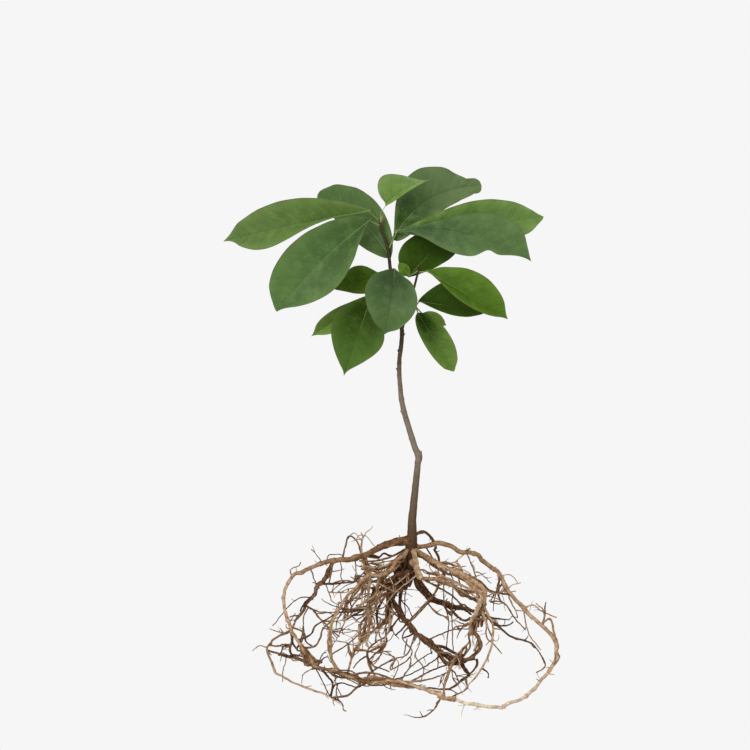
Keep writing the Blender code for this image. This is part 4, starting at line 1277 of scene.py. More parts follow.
# %% Strands on the right
STRANDS_RIGHT = [
    ("middle_right", "tan", 3.4, (20, -45, 98), (33, -47, 101), (48, -53, 103), (71, -65, 104)),
    ("", "tan", 3.0, (28, -37, 96), (38, -43, 101), (55, -51, 104), (76, -60, 110)),
    ("", "brown", 2.6, (18, -38, 98), (33, -42, 98), (50, -48, 100), (70, -58, 104)),
    ("bent", "tan", 4.6, (58, -40, 105), (68, -48, 108), (78, -56, 111), (86, -64, 113), (87, -76, 110)),
    ("bent", "tan", 4.2, (62, -46, 104), (73, -55, 108), (80, -63, 110), (83, -74, 109), (82, -84, 106)),
    ("back_right", "dark", 3.0, (8, -40, 66), (17, -60, 50), (30, -74, 40), (48, -80, 34)),
    ("", "brown", 2.2, (38, -40, 90), (34, -54, 84), (24, -72, 72), (10, -90, 60), (-4, -104, 56)),
    ("right", "brown", 1.4, (68, -14, 74), (75, -31, 93), (81, -50, 112)),
    ("bent", "tan", 1.2, (38, -26, 96), (51, -26, 88), (62, -19, 79), (68, -14, 74)),
    ("bent", "tan", 1.3, (32, -23, 93), (43, -25, 94), (58, -31, 95), (67, -30, 96)),
    ("bent", "brown", 2.3, (34, -25, 96), (48, -28, 93), (61, -38, 89), (82, -48, 84), (99, -62, 79),
     (124, -68, 73)),
    ("right", "brown", 1.7, (109, -45, 73), (109, -71, 70), (119, -82, 67), (130, -99, 64),
     (143, -112, 60)),
    ("right", "tan", 0.9, (109, -45, 73), (122, -42, 72), (130, -49, 70), (132, -53, 70)),
    ("right", "tan", 1.5, (140, -83, 75), (152, -80, 75), (163, -88, 74), (181, -96, 74)),
    ("right", "tan", 2.3, (163, -101, 82), (172, -97, 84), (177, -113, 87), (182, -130, 91),
     (180, -136, 93), (183, -145, 95), (173, -157, 98)),
    ("right", "brown", 1.1, (108, -45, 73), (106, -63, 67), (103, -76, 62), (102, -89, 58)),
    ("bent_down", "dark", 2.2, (85, -86, 103), (94, -93, 94), (102, -104, 82), (119, -106, 68),
     (127, -102, 60)),
    ("back_far", "brown", 1.6, (163, -146, 2), (170, -162, 7), (158, -170, 10)),
    ("right", "tan", 1.3, (140, -81, 75), (147, -117, 35), (160, -136, 10), (165, -142, 1)),
    ("right_drop", "brown", 1.6, (92, -90, 104), (92, -117, 99), (102, -128, 92), (112, -140, 84)),
    ("right_drop", "dark", 1.3, (84, -154, 113), (94, -162, 105), (95, -169, 100)),
    ("bent_down", "pale", 1.4, (54, -151, 50), (56, -144, 61), (59, -151, 76), (60, -159, 90)),
    ("bent_down", "tan", 1.7, (84, -82, 107), (92, -102, 100), (101, -123, 92)),
    ("middle_right", "dark", 2.4, (52, -53, 97), (63, -59, 105), (77, -62, 113)),
    ("bent_down", "tan", 2.4, (86, -94, 99), (81, -101, 99), (78, -116, 97)),
    ("bent_down", "pale", 2.8, (85, -83, 106), (89, -91, 105), (94, -106, 104)),
    ("bent_down", "brown", 3.4, (84, -78, 105), (84, -87, 103), (82, -106, 98)),
    ("bent_down", "brown", 3.0, (88, -76, 106), (89, -86, 102), (86, -105, 96)),
    ("bent_down", "brown", 2.8, (71, -104, 92), (71, -114, 89), (72, -125, 82)),
    ("", "pale", 4.2, (85, -70, 114), (82, -78, 113), (78, -89, 110), (73, -99, 103), (72, -107, 97),
     (73, -117, 87)),
    ("right", "brown", 1.5, (108, -47, 73), (107, -55, 69), (106, -65, 64)),
    ("bent", "tan", 1.7, (89, -59, 114), (97, -62, 102), (107, -65, 89), (115, -58, 73)),
    ("", "brown", 1.2, (78, -37, 110), (85, -39, 99), (99, -53, 73)),
    ("right", "dark", 1.8, (18, -10, 75), (24, -18, 84), (30, -25, 93)),
    ("middle", "dark", 1.8, (10, -34, 90), (14, -35, 97), (22, -40, 98)),
    ("back_right", "dark", 3.2, (51, -88, 23), (55, -86, 37), (66, -86, 70), (73, -90, 99)),
    ("back_right", "dark", 3.2, (46, -87, 24), (52, -91, 42), (64, -99, 77), (72, -95, 96)),
    ("tap", "dark", 3.6, (27, -135, 42), (34, -134, 45), (43, -136, 49), (56, -143, 55), (64, -144, 58)),
    ("tap", "dark", 4.6, (31, -141, 42), (40, -152, 46), (46, -155, 48), (58, -155, 52), (72, -150, 56),
     (79, -148, 58)),
    ("tap", "dark", 4.0, (32, -138, 42), (40, -144, 44), (51, -153, 48), (59, -156, 50)),
    ("tap", "dark", 3.0, (41, -138, 41), (48, -144, 44), (58, -154, 50)),
    ("", "tan", 2.0, (72, -125, 82), (62, -137, 68), (54, -146, 50)),
    ("", "brown", 2.2, (72, -125, 82), (72, -133, 78), (65, -146, 58)),
    ("bent_down", "pale", 3.0, (74, -125, 82), (79, -136, 68), (78, -138, 65)),
    ("bent_down", "pale", 2.2, (57, -144, 50), (60, -153, 61), (59, -160, 70)),
    ("bent_down", "dark", 4.6, (62, -154, 54), (65, -159, 59), (71, -167, 68), (69, -170, 72),
     (61, -174, 80)),
    ("", "dark", 2.8, (81, -149, 60), (82, -154, 64), (79, -160, 69), (71, -167, 76)),
    ("", "tan", 4.0, (58, -144, 50), (51, -152, 75), (43, -168, 107), (39, -180, 124), (39, -190, 133)),
    ("", "brown", 2.6, (61, -174, 80), (55, -179, 89), (45, -183, 101), (36, -182, 111), (15, -178, 134)),
    ("", "brown", 2.3, (67, -171, 78), (67, -174, 82), (69, -180, 94), (66, -184, 101), (53, -189, 120),
     (46, -191, 130)),
    ("right_drop", "dark", 1.3, (85, -156, 113), (94, -163, 106), (94, -169, 102)),
    ("right_ring", "tan", 5.5, (53, -193, 130), (45, -192, 133), (38, -191, 134), (31, -188, 133)),
]
strand_group("strands_right", STRANDS_RIGHT, 60)

# %% Strands round the collar
# The thick dark strands that run low under the collar are partly painted shade: dark skin laid where the
# hollow below the collar is in shade.
STRANDS_COLLAR = [
    ("tap", "brown", 1.6, (-8, -112, 52), (-12, -121, 70), (0, -136, 96), (-9, -148, 112),
     (-27, -157, 124)),
    ("tap", "dark", 1.6, (38, -143, 42), (30, -148, 70), (6, -160, 104), (-24, -170, 130)),
    ("tap", "brown", 1.5, (2, -114, 48), (10, -126, 66), (4, -142, 92), (14, -156, 112), (10, -172, 134)),
    ("stem", "tan", 5.6, (1, -8, 78), (3, -16, 86), (6, -30, 92), (9, -40, 96), (12, -46, 98)),
    ("stem", "dark", 6.0, (-2, -12, 74), (-5, -28, 68), (-4, -44, 64), (-9, -62, 60)),
    ("stem", "dark", 5.0, (2, -14, 74), (1, -32, 68), (-1, -48, 62), (-4, -58, 60)),
    ("stem", "brown", 4.0, (-4, -6, 76), (-14, -20, 72), (-20, -38, 68), (-22, -58, 64)),
    ("stem", "brown", 3.6, (4, -8, 76), (10, -16, 80), (20, -24, 84), (32, -34, 88)),
    ("", "dark", 3.0, (4, -30, 66), (8, -44, 62), (14, -58, 54), (20, -70, 46)),
    ("", "brown", 2.2, (16, -48, 92), (34, -58, 86), (52, -70, 70), (64, -84, 50)),
    ("", "tan", 2.6, (-12, -20, 80), (-28, -28, 84), (-44, -33, 90), (-62, -30, 92)),
    ("", "brown", 2.8, (-14, -22, 78), (-30, -31, 82), (-46, -36, 88), (-64, -34, 90)),
    ("", "brown", 3.0, (-14, -26, 76), (-28, -36, 80), (-44, -41, 86), (-60, -40, 90)),
    ("", "tan", 2.6, (-16, -30, 76), (-30, -40, 80), (-46, -44, 86), (-58, -46, 90)),
    ("", "brown", 2.2, (-18, -16, 78), (-34, -22, 80), (-50, -25, 84), (-66, -24, 86)),
    ("", "brown", 2.6, (-20, -34, 74), (-36, -45, 80), (-52, -52, 86)),
    ("", "dark", 6.0, (-8, -36, 66), (-20, -46, 66), (-32, -56, 66), (-42, -68, 66)),
    ("", "dark", 5.4, (-10, -44, 64), (-22, -54, 62), (-30, -66, 62)),
    ("", "dark", 5.0, (-6, -40, 64), (-14, -56, 60), (-24, -72, 60)),
    ("", "brown", 4.2, (-14, -40, 70), (-28, -48, 72), (-40, -56, 72)),
    ("", "tan", 1.9, (-29, -61, 84), (-42, -72, 88), (-56, -80, 90), (-84, -86, 92)),
    ("", "tan", 1.9, (-27, -63, 84), (-40, -75, 86), (-56, -89, 88), (-71, -99, 90)),
    ("", "brown", 1.8, (-24, -60, 84), (-38, -67, 86), (-51, -74, 88), (-70, -80, 90)),
    ("left_front", "tan", 2.4, (-58, -44, 102), (-68, -61, 98), (-84, -82, 94)),
    ("left_front", "tan", 2.2, (-60, -42, 102), (-73, -60, 100), (-89, -77, 98)),
    ("left_front", "tan", 2.0, (-54, -46, 100), (-64, -66, 94), (-74, -80, 92), (-85, -100, 90)),
    ("", "tan", 2.2, (-55, -77, 88), (-56, -90, 88), (-54, -102, 88), (-57, -130, 90)),
    ("", "tan", 1.8, (-51, -100, 86), (-45, -114, 86), (-46, -125, 86)),
    ("tap", "brown", 3.0, (-26, -62, 64), (-38, -76, 68), (-44, -92, 70), (-42, -108, 72)),
    ("left", "brown", 3.4, (-62, -20, 86), (-53, -32, 82), (-37, -33, 77), (-21, -24, 75), (-5, -11, 75)),
    ("left", "dark", 2.4, (-57, -19, 86), (-43, -21, 72), (-35, -16, 67), (-24, -19, 66), (-7, -9, 75)),
    ("left_front", "tan", 2.6, (-62, -42, 104), (-50, -36, 94), (-35, -38, 85), (-20, -30, 77),
     (-5, -19, 73)),
    ("tap", "brown", 3.2, (-30, -62, 62), (-32, -88, 61), (-29, -100, 61), (-25, -114, 60)),
    ("left_front", "tan", 1.8, (-43, -40, 104), (-43, -57, 97), (-50, -73, 91), (-62, -83, 85),
     (-75, -88, 80)),
    ("left_front", "tan", 1.8, (-50, -38, 104), (-62, -51, 100), (-75, -67, 96), (-82, -83, 93),
     (-87, -98, 90)),
    ("stem", "dark", 6.5, (-4, -9, 75), (-12, -27, 67), (-16, -47, 62), (-17, -65, 61)),
    ("stem", "dark", 5.0, (-3, -14, 74), (-5, -32, 63), (-11, -52, 57), (-15, -72, 59)),
    ("", "brown", 2.6, (-51, -27, 84), (-39, -30, 81), (-27, -30, 79), (-19, -26, 77), (-7, -15, 73)),
    ("left", "brown", 2.6, (-63, -19, 86), (-61, -25, 89), (-53, -39, 98), (-43, -42, 104)),
    ("left", "brown", 2.4, (-57, -19, 86), (-56, -27, 89), (-52, -34, 92), (-43, -39, 97),
     (-31, -37, 102)),
    ("left_front", "tan", 2.2, (-31, -39, 102), (-43, -42, 107), (-55, -39, 106), (-59, -36, 104)),
]
strand_group("strands_collar", STRANDS_COLLAR, 80)

# %% [markdown]
# ### Nets and braids
#
# Where many fine roots grew in one pocket of soil they come out as a net: each leaves one root there
# and runs into another. A root that lay against a second one follows it, now over it and now beside
# it. Both are too many to place by hand, so each is one row of a table, and a seeded rule draws its
# members. A net's row gives its centre, its reach along the three axes, how many members it has, how
# thick and how long they may be, and their tone. A member starts at the laid point that is nearest to
# a random spot, and leads outward to another. A braid's row gives its root, the stretch that it
# follows as two shares, how many members it has, how thick they are, how far they stray, and their
# tone.

# %% Nets and braids
NETS = {
    "net_left": [
        ((-60, -68, 88), (28, 24, 26), 14, 2.2, 44, "tan"),
        ((-42, -88, 78), (26, 28, 26), 14, 2.2, 44, "tan"),
        ((-46, -112, 84), (28, 24, 30), 13, 2.1, 44, "tan"),
        ((-58, -100, 84), (22, 24, 30), 6, 2.1, 44, "tan"),
        ((-58, -134, 100), (32, 22, 34), 19, 2.1, 44, "brown"),
        ((-20, -146, 90), (30, 16, 50), 6, 2.0, 46, "brown"),
        ((-150, -128, 60), (22, 26, 60), 8, 2.4, 36, "brown"),
        ((-118, -148, 90), (24, 12, 50), 7, 2.6, 36, "brown"),
        ((-86, -188, 100), (26, 16, 40), 4, 2.0, 36, "brown"),
        ((-96, -50, 84), (26, 18, 30), 4, 1.9, 36, "brown"),
    ],
    "net_collar": [
        ((-12, -34, 74), (13, 26, 20), 8, 4.2, 26, "dark"),
        ((-44, -24, 84), (30, 12, 18), 10, 2.0, 44, "brown"),
        ((-52, -38, 88), (30, 14, 26), 14, 2.4, 44, "brown"),
        ((-40, -58, 90), (30, 16, 24), 14, 2.4, 44, "brown"),
        ((-22, -62, 74), (20, 20, 28), 12, 3.0, 32, "dark"),
        ((8, -50, 84), (16, 16, 20), 6, 2.6, 24, "brown"),
    ],
    "net_right": [
        ((78, -70, 104), (14, 14, 18), 10, 2.2, 24, "tan"),
        ((82, -98, 98), (10, 18, 20), 10, 2.8, 26, "brown"),
        ((62, -140, 56), (24, 16, 30), 14, 3.2, 30, "brown"),
        ((20, -66, 54), (28, 16, 40), 9, 2.8, 26, "dark"),
        ((52, -82, 56), (32, 14, 44), 14, 2.6, 26, "dark"),
        ((44, -38, 92), (38, 18, 26), 20, 2.3, 30, "tan"),
        ((30, -90, 60), (22, 20, 40), 9, 1.8, 40, "brown"),
        ((100, -84, 70), (26, 24, 40), 7, 1.8, 34, "brown"),
        ((46, -176, 100), (26, 14, 50), 6, 2.2, 30, "brown"),
    ],
}
NET_SHORTEST = 11.0
NET_BOW = 0.13
NET_KINK = 0.65
NET_OUTWARD = 0.55
NET_EVERY = 3
NET_PALER = 0.09
JOINT_SWELL = 0.35
NET_FILLED = 0.9
NET_THICKNESS = (0.55, 1.0)
NET_BENDS = (0.3, 0.7)
NET_AGE_CHANCE = 0.14
SEED_SPAN = 80
NET_SEED = 200
BRAID_SEED = 300
BRAIDS = [
    ("root_left_edge", 0.45, 1.0, 2, 2.2, 2.4, "tan"), ("root_front", 0.0, 1.0, 5, 3.0, 5.2, "brown"),
    ("root_front", 0.2, 1.0, 2, 2.6, 3.6, "tan"), ("root_front", 0.0, 0.5, 2, 2.6, 4.4, "brown"),
    ("root_left_edge", 0.7, 1.0, 3, 2.6, 3.4, "brown"), ("root_tap", 0.1, 1.0, 5, 3.0, 4.0, "brown"),
    ("root_bent", 0.0, 0.95, 4, 2.6, 3.2, "tan"), ("root_back_right", 0.05, 0.85, 6, 3.0, 4.6, "dark"),
    ("root_left_inner", 0.0, 0.95, 2, 2.4, 2.6, "brown"),
    ("root_bent_down", 0.1, 1.0, 4, 2.6, 3.2, "brown"),
    ("root_middle_right", 0.1, 0.95, 4, 2.6, 3.2, "tan"),
    ("root_left_drop", 0.2, 0.95, 2, 2.0, 2.4, "tan"), ("root_wave", 0.0, 1.0, 4, 2.4, 3.4, "brown"),
    ("root_right_ring", 0.0, 0.3, 1, 2.2, 2.6, "tan"), ("root_left", 0.0, 0.35, 3, 2.6, 3.8, "brown"),
]
BRAID_SPREAD = 2.2
BRAID_ENDS = 6
# A braid member's thickness at its foot, and what it loses on its way, as shares of the thickest.
BRAID_THICKNESS = (0.85, 0.25)
BRAID_AGE_CHANCE = 0.16
BRAID_WAVE = 19.0


def stretch(name, first, last):
    """The part of a root's line between two shares of its length."""
    line = skinned.get(name) or fine_line(lines[name], 1.0)
    return line[int(first * (len(line) - 1)):int(last * (len(line) - 1)) + 1]


def leads_on(start, end):
    """Whether a step leads more or less straight away from the collar."""
    outward, step = start.xy.normalized(), (end - start).xy
    return step.length > 2 and step.normalized().dot(outward) > NET_OUTWARD


def net_lines(centre, reach, count, thickest, longest, rng):
    """The members of one net. Each that is drawn may carry the next."""
    centre = Vector(centre)
    near = [p for p in laid if sum(((p[k] - centre[k]) / reach[k]) ** 2 for k in range(3)) < 1]
    drawn = []
    for _ in range(count if near else 0):
        spot = centre + Vector([rng.uniform(-NET_FILLED, NET_FILLED) * half_span for half_span in reach])
        start = min(near, key=lambda p: (p - spot).length)
        ends = [p for p in near if NET_SHORTEST < (p - start).length < longest and leads_on(start, p)]
        if not ends:
            continue
        end = rng.choice(ends)
        bow = scatter(rng) * (end - start).length * NET_BOW
        middle = thickest * rng.uniform(*NET_THICKNESS)
        joint = middle * (1 + JOINT_SWELL)
        bends = [(start.lerp(end, share) + bow, middle) for share in NET_BENDS]
        guides = [(start, joint), *bends, (end, joint)]
        guides = [(Vector((p.x, p.y, max(p.z, t / 2))), t) for p, t in guides]
        line = [(p, t) for p, t in curled(guides, rng.uniform(0, SEED_SPAN), NET_KINK) if inside(p)]
        if len(line) > 3:
            drawn.append(line)
            near += [p for p, _ in line[2:-2:NET_EVERY]]
    return drawn


def braid_lines(name, first, last, count, thickest, offset, rng):
    """Fine roots that follow a stretch of a root, now over it and now beside it."""
    drawn = []
    line = stretch(name, first, last)[::2]
    foot, lost = BRAID_THICKNESS
    for _ in range(count):
        seed = rng.uniform(0, SEED_SPAN)
        begin = rng.randrange(0, max(1, len(line) // 3))
        end = len(line) - rng.randrange(0, max(1, len(line) // 3))
        made = []
        for i, (place, carrier) in enumerate(line[begin:end]):
            share = i / max(1, end - begin - 1)
            ends = min(1.0, BRAID_ENDS * share, BRAID_ENDS * (1 - share))
            spot = place + drift_at(place, seed, BRAID_WAVE) * BRAID_SPREAD * offset * ends
            thickness = min(carrier * CARRIER_SHARE, thickest * (foot - lost * share))
            spot.z = max(spot.z, thickness / 2)
            made.append((spot, thickness))
        if len(made) > 3:
            drawn.append(made)
    return drawn


for number, (name, rows) in enumerate(NETS.items()):
    rng = random.Random(NET_SEED + number)
    drawn, skin_tones = [], []
    for *shape, skin_tone in rows:
        grown = net_lines(*shape, rng)
        grown += [h for line in grown for h in offshoots(rng, line, *HAIRS_ON["net"])]
        drawn += grown
        paler = SKIN_TONE_LABELS[skin_tone] + NET_PALER
        skin_tones += [2 * [paler + rng.uniform(-NET_AGE_CHANCE, NET_AGE_CHANCE)] for _ in grown]
    fine_roots(name, drawn, skin_tones)

rng = random.Random(BRAID_SEED)
drawn, skin_tones = [], []
for *shape, skin_tone in BRAIDS:
    grown = braid_lines(*shape, rng)
    drawn += grown
    skin_tones += [2 * [SKIN_TONE_LABELS[skin_tone] + rng.uniform(-BRAID_AGE_CHANCE, BRAID_AGE_CHANCE)] for _ in grown]
fine_roots("braids", drawn, skin_tones)

# %% [markdown]
# ### Rootlets along the main roots
#
# The main roots carry rootlets too: many on the inner ones, which grew in soft soil, and few on the
# scrubbed outer ring. Most point the way their root grew. Some are only stubs, broken in washing.

# %% Rootlets on the main roots
# The greatest length and thickness, in millimetres.
LONG_ROOTLET = (26, 1.9)
STUB = (5, 2.3)
LONG_SPACING = 2.3
STUB_SPACING = 1.6
ROOTLET_FALL = 0.6
ROOTLET_DARKER = 0.08
LEFT_SIDE = [name for name in ROOTS if "left" in name or name in ("root_front", "root_wave", "root_stray")]
RIGHT_SIDE = [name for name in ROOTS if name not in LEFT_SIDE]


def rootlets(name):
    """Rootlets, their hairs and stubs on one main root."""
    rng = random.Random("rootlets of " + name)
    line = skinned[name]
    spacing = ROOTS[name]["spacing"]
    long = offshoots(rng, line, spacing * LONG_SPACING, *LONG_ROOTLET, FALL * ROOTLET_FALL)
    stubs = offshoots(rng, line, spacing * STUB_SPACING, *STUB, FALL * 0)
    fine = [h for parent in long for h in offshoots(rng, parent, *HAIRS_ON["rootlet"])]
    return long + stubs + fine


for group, members in (("left_rootlets", LEFT_SIDE), ("right_rootlets", RIGHT_SIDE)):
    drawn, skin_tones = [], []
    for name in members:
        grown = rootlets(name)
        middle = sum(ROOTS[name]["skin_tones"]) / 2
        drawn += grown
        skin_tones += [2 * [middle - ROOTLET_DARKER] for _ in grown]
    fine_roots(group, drawn, skin_tones)

# %% [markdown]
# ## The leaves
#
# Every leaf differs in length, droop, twist and half-width, so each is described: its stalk's foot,
# its blade's two ends, how its rib bows, and the reach, lift and widest place of either half. Apart
# from the young leaf's, these are the same numbers as the solid blades'. A grid primitive is bent to
# that shape, with four times as many rows, and is then given what a real blade has: sunk veins with
# the blade puffed up between them, and a margin that waves.

# %% What each leaf is like
def half(reach, lift, widest, full=0.76, dip=None):
    """Half a blade: its reach aside, how far its margin rises, where it is widest, how full, and any dip."""
    return {"reach": reach, "lift": lift, "widest": widest, "full": full, "dip": dip}


def leaf(mass, tone, foot, base, tip, bow, left, right, blunt=0.0):
    """A leaf: its tone, its stalk's foot, its blade's two ends, its rib's bow to the right and up, its
    halves, and how wide a rounded tip is."""
    return {
        "mass": mass, "tone": tone, "foot": foot, "base": base, "tip": tip, "bow": bow,
        "left": left, "right": right, "blunt": blunt,
    }


LEAVES = [
    leaf("leaves_top", "sunlit", (-40, 400, 77), (-52, 413, 81), (-235, 374, 86), (1, 16),
         half(22, 26, 0.72, 1.7), half(32, 16, 0.55, 0.78)),
    leaf("leaves_top", "broad", (-39.5, 394, 77), (-51, 402, 84), (-168, 286, 108), (5, 20),
         half(36, 14, 0.56, 1.1), half(41, 16, 0.59, 0.54)),
    leaf("leaves_top", "dull", (-28, 350, 75), (-27, 354, 71), (-119, 437, 3), (10, 14),
         half(24, 10, 0.4, 0.85), half(31, 10, 0.54, 0.64), 8.0),
    leaf("leaves_top", "young", (-39, 410, 77), (-33, 419, 82), (22, 450, 108), (-5, 8),
         half(29, 12, 0.33, 2.3), half(5, 8, 0.4, 0.95)),
    leaf("leaves_top", "tall", (-30, 362, 75), (-25, 377, 73), (89, 448, 3), (-18, 20),
         half(40, 8, 0.5, 1.55), half(21, 10, 0.4, 0.5), 10.0),
    leaf("leaves_top", "long", (-30, 363, 75), (-22, 386, 76), (165, 406, 62), (3, 14),
         half(31, 8, 0.59, 0.8), half(22, 8, 0.7, 0.51)),
    leaf("leaves_top", "grey", (-30, 364, 75), (-21, 388, 81), (148, 349, 96), (-14, 20),
         half(34, 12, 0.7, 0.92), half(27, 14, 0.5, 1.85, (0.69, 0.41))),
    leaf("leaves_side", "deep", (8, 336, 79), (-5, 330, 76), (56, 393, 24), (-1, 8),
         half(32, 6, 0.3, 0.8), half(23, 8, 0.63, 0.53)),
    leaf("leaves_side", "vivid", (8, 336, 79), (18, 338, 82), (119, 277, 92), (0, 14),
         half(30, 12, 0.53, 0.83), half(12, 16, 0.57, 1.1)),
    leaf("leaves_side", "vivid", (8, 338, 79), (-3, 331, 82), (-17, 347, 88), (0, 1), half(7, 2, 0.5),
         half(7, 2, 0.5)),
    leaf("leaves_front", "slate", (-25, 332, 87), (-22, 340, 98), (-34, 258, 126), (-2, 22),
         half(32, 9, 0.52, 0.94), half(34, 9, 0.43, 0.87)),
    leaf("leaves_front", "low", (-25, 331, 84), (-34, 331, 79), (-104, 316, 48), (0, 5),
         half(17, 8, 0.28, 1.07), half(20, 8, 0.41, 1.65)),
    leaf("leaves_lower_left", "shade", (-22, 306, 88), (-50, 308, 91), (-85, 206, 100), (0, 10),
         half(33, 12, 0.5, 1.59), half(35, 12, 0.45, 1.14)),
    leaf("leaves_lower_left", "back", (-20, 305, 83), (-46, 309, 82), (-126, 256, 66), (0, 6),
         half(15, 10, 0.52, 1.06), half(12, 14, 0.6, 0.84)),
    leaf("leaves_lower_right", "deep", (4, 293, 77), (8, 300, 75), (97, 286, 42), (0, 6),
         half(33, 5, 0.48, 0.86), half(11, 8, 0.53, 1.0)),
    leaf("leaves_lower_right", "mid", (5, 292, 77), (7, 285, 80), (52, 212, 92), (0, 10),
         half(19, 10, 0.53, 0.59), half(14, 14, 0.51, 0.53)),
    leaf("leaves_lower_right", "back", (5, 292, 77), (13, 284, 75), (43, 270, 62), (0, 2),
         half(9, 2, 0.45), half(9, 2, 0.5)),
]
SHOOTS = {
    "leaves_top": [
        (-27.5, 343, 75, 4.3), (-30, 365, 75, 4.2), (-34, 377, 76, 3.9), (-38, 387, 77, 3.7),
        (-39, 392, 77, 4.6), (-39.5, 396, 77, 3.6), (-40, 402, 77, 3.9), (-38, 414, 78, 1.4),
    ],
    "leaves_side": [(6.5, 332, 78, 2.8), (8, 337, 79, 2.6), (9, 343, 80, 1.8)],
    "leaves_front": [(-24.5, 328, 75.5, 3.6), (-25, 330, 82, 3.4), (-25, 333, 89, 2.6)],
    "leaves_lower_left": [(-19.5, 304, 76, 3.6), (-20, 305, 83, 3.4), (-22, 307, 90, 2.6)],
    "leaves_lower_right": [(-3, 297, 77, 2.8), (1, 295, 77, 2.8), (6, 292, 77, 2.2)],
}
print(len(LEAVES), "leaves on", len(SHOOTS), "shoots")

# %% The blade's rule
LEAF_END_WIDTH = 2.4
END_NARROWS = 0.85
LEAF_FLAT_WIDTH = 9.0
DRIP = 0.38
DRIP_FROM = 0.86
DRIP_SPAN = 0.14
BLUNT_FROM = 0.6
DIP_WIDTH = 0.06


def blade_outline(along, part, blunt):
    """Width over the widest width: a wedge foot, full past the middle, with a drip tip or a round one."""
    power = math.log(0.5) / math.log(part["widest"])
    body = max(0.0, math.sin(math.pi * along**power)) ** part["full"]
    if part["dip"]:
        where, depth = part["dip"]
        body *= 1 - depth * math.exp(-(((along - where) / DIP_WIDTH) ** 2))
    to_tip = min(1.0, max(0.0, (along - DRIP_FROM) / DRIP_SPAN))
    return body if blunt else body * (1 - DRIP * to_tip * to_tip * (3 - 2 * to_tip))


def blunt_reach(spec, along):
    """How far the rounded end of a blunt leaf reaches aside here."""
    depth = spec["blunt"] / (Vector(spec["tip"]) - Vector(spec["base"])).length
    if along < BLUNT_FROM or not depth:
        return 0.0
    beyond = max(0.0, along - (1 - depth)) / depth
    return spec["blunt"] * math.sqrt(max(0.0, 1 - beyond * beyond))


def rib_frame(spec, along):
    """The rib's place at a share of its length, with the directions to its right and out of its face."""
    base, tip = Vector(spec["base"]), Vector(spec["tip"])
    straight = (tip - base).normalized()
    aside = straight.cross(Vector((0, 0, 1))).normalized()
    bow = aside * spec["bow"][0] + Vector((0, 0, spec["bow"][1]))
    control = (base + tip) / 2 + 2 * bow
    place = (1 - along) ** 2 * base + 2 * along * (1 - along) * control + along**2 * tip
    heading = ((1 - along) * (control - base) + along * (tip - control)).normalized()
    side = heading.cross(Vector((0, 0, 1))).normalized()
    return place, side, side.cross(heading)


def half_blade(spec, along, across):
    """How far a half of the blade reaches aside here, and how far its margin rises."""
    part = spec["right"] if across > 0 else spec["left"]
    share = blade_outline(along, part, spec["blunt"])
    end = LEAF_END_WIDTH / 2 * (1 - END_NARROWS * along)
    reach = max(part["reach"] * share, end, blunt_reach(spec, along))
    return reach, part["lift"] * max(0.0, share) * min(1.0, reach / LEAF_FLAT_WIDTH)


# %% [markdown]
# ### Veins in relief
#
# Side veins leave the rib at about half a right angle and arch towards the tip. Counting them along
# the blade gives each point a number, whole on a vein and a half midway between two. The surface
# sinks where that number is near a whole one. The same number goes in the blade's map, so the
# darker lines of the finish, which are painted shade, lie in the sunk ones.

# %% Blades
BLADE_ROWS = 104
BLADE_COLUMNS = 34
BLADE_WALL = 0.45
VEIN_SPACING = 13.0
VEIN_SLANT = 0.62
VEIN_ARCH = 0.45
QUILT = 0.5
RIB_GROOVE = 0.45
RIB_GROOVE_WIDTH = 1.3
MARGIN_WAVE = 1.5
MARGIN_WAVE_LENGTH = 27.0
COLUMNS_TO_RIB = 1.35
LIFT_CURVE = 1.2
RIGHT_VEINS_AHEAD = 0.35
PUFF_SHARPNESS = 0.7
PUFF_CHANCE = 1.2
PUFF_CHANCE_WAVE = 1.7
PUFF_MEAN = 0.6
QUILT_FADE = 0.75
MARGIN_CHANCE = 0.8
MARGIN_CHANCE_LENGTH = 19.0
# How far the margin's wave shifts from leaf to leaf, and from one half to the other.
MARGIN_SHIFTS = (2.1, 1.3)
# The relief is shallower where the half-width is less than these, and close to the rib.
QUILT_ROOM = 18.0
QUILT_RIB_ROOM = 4.0
GROOVE_ROOM = 6.0
MARGIN_ROOM = 14.0


def blade_point(spec, along, across, seed):
    """A point on the blade with its relief, the count of veins there, and its distance from the rib."""
    place, side, face = rib_frame(spec, along)
    reach, lift = half_blade(spec, along, across)
    length = (Vector(spec["tip"]) - Vector(spec["base"])).length
    on_right = across > 0
    out = abs(across) * reach
    back = out * VEIN_SLANT * (1 + VEIN_ARCH * abs(across))
    count = (along * length - back) / VEIN_SPACING + RIGHT_VEINS_AHEAD * on_right
    chance = 1 + PUFF_CHANCE * noise.noise(Vector((count / PUFF_CHANCE_WAVE, seed, across)))
    puff = abs(math.sin(math.pi * count)) ** PUFF_SHARPNESS * chance
    room = min(1.0, reach / QUILT_ROOM) * min(1.0, out / QUILT_RIB_ROOM) * (1 - QUILT_FADE * abs(across) ** 3)
    height = QUILT * (puff - PUFF_MEAN) * room
    height -= RIB_GROOVE * math.exp(-((out / RIB_GROOVE_WIDTH) ** 2)) * min(1.0, reach / GROOVE_ROOM)
    shift = seed * MARGIN_SHIFTS[0] + MARGIN_SHIFTS[1] * on_right
    waving = math.sin(2 * math.pi * along * length / MARGIN_WAVE_LENGTH + shift)
    spot = Vector((along * length / MARGIN_CHANCE_LENGTH, seed, 3 * on_right))
    waving += MARGIN_CHANCE * noise.noise(spot)
    height += MARGIN_WAVE * waving * abs(across) ** 3 * min(1.0, reach / MARGIN_ROOM)
    point = place + side * across * reach + face * (lift * abs(across) ** LIFT_CURVE + height)
    point.z = max(point.z, BLADE_WALL)
    return point, count, math.copysign(out, across)


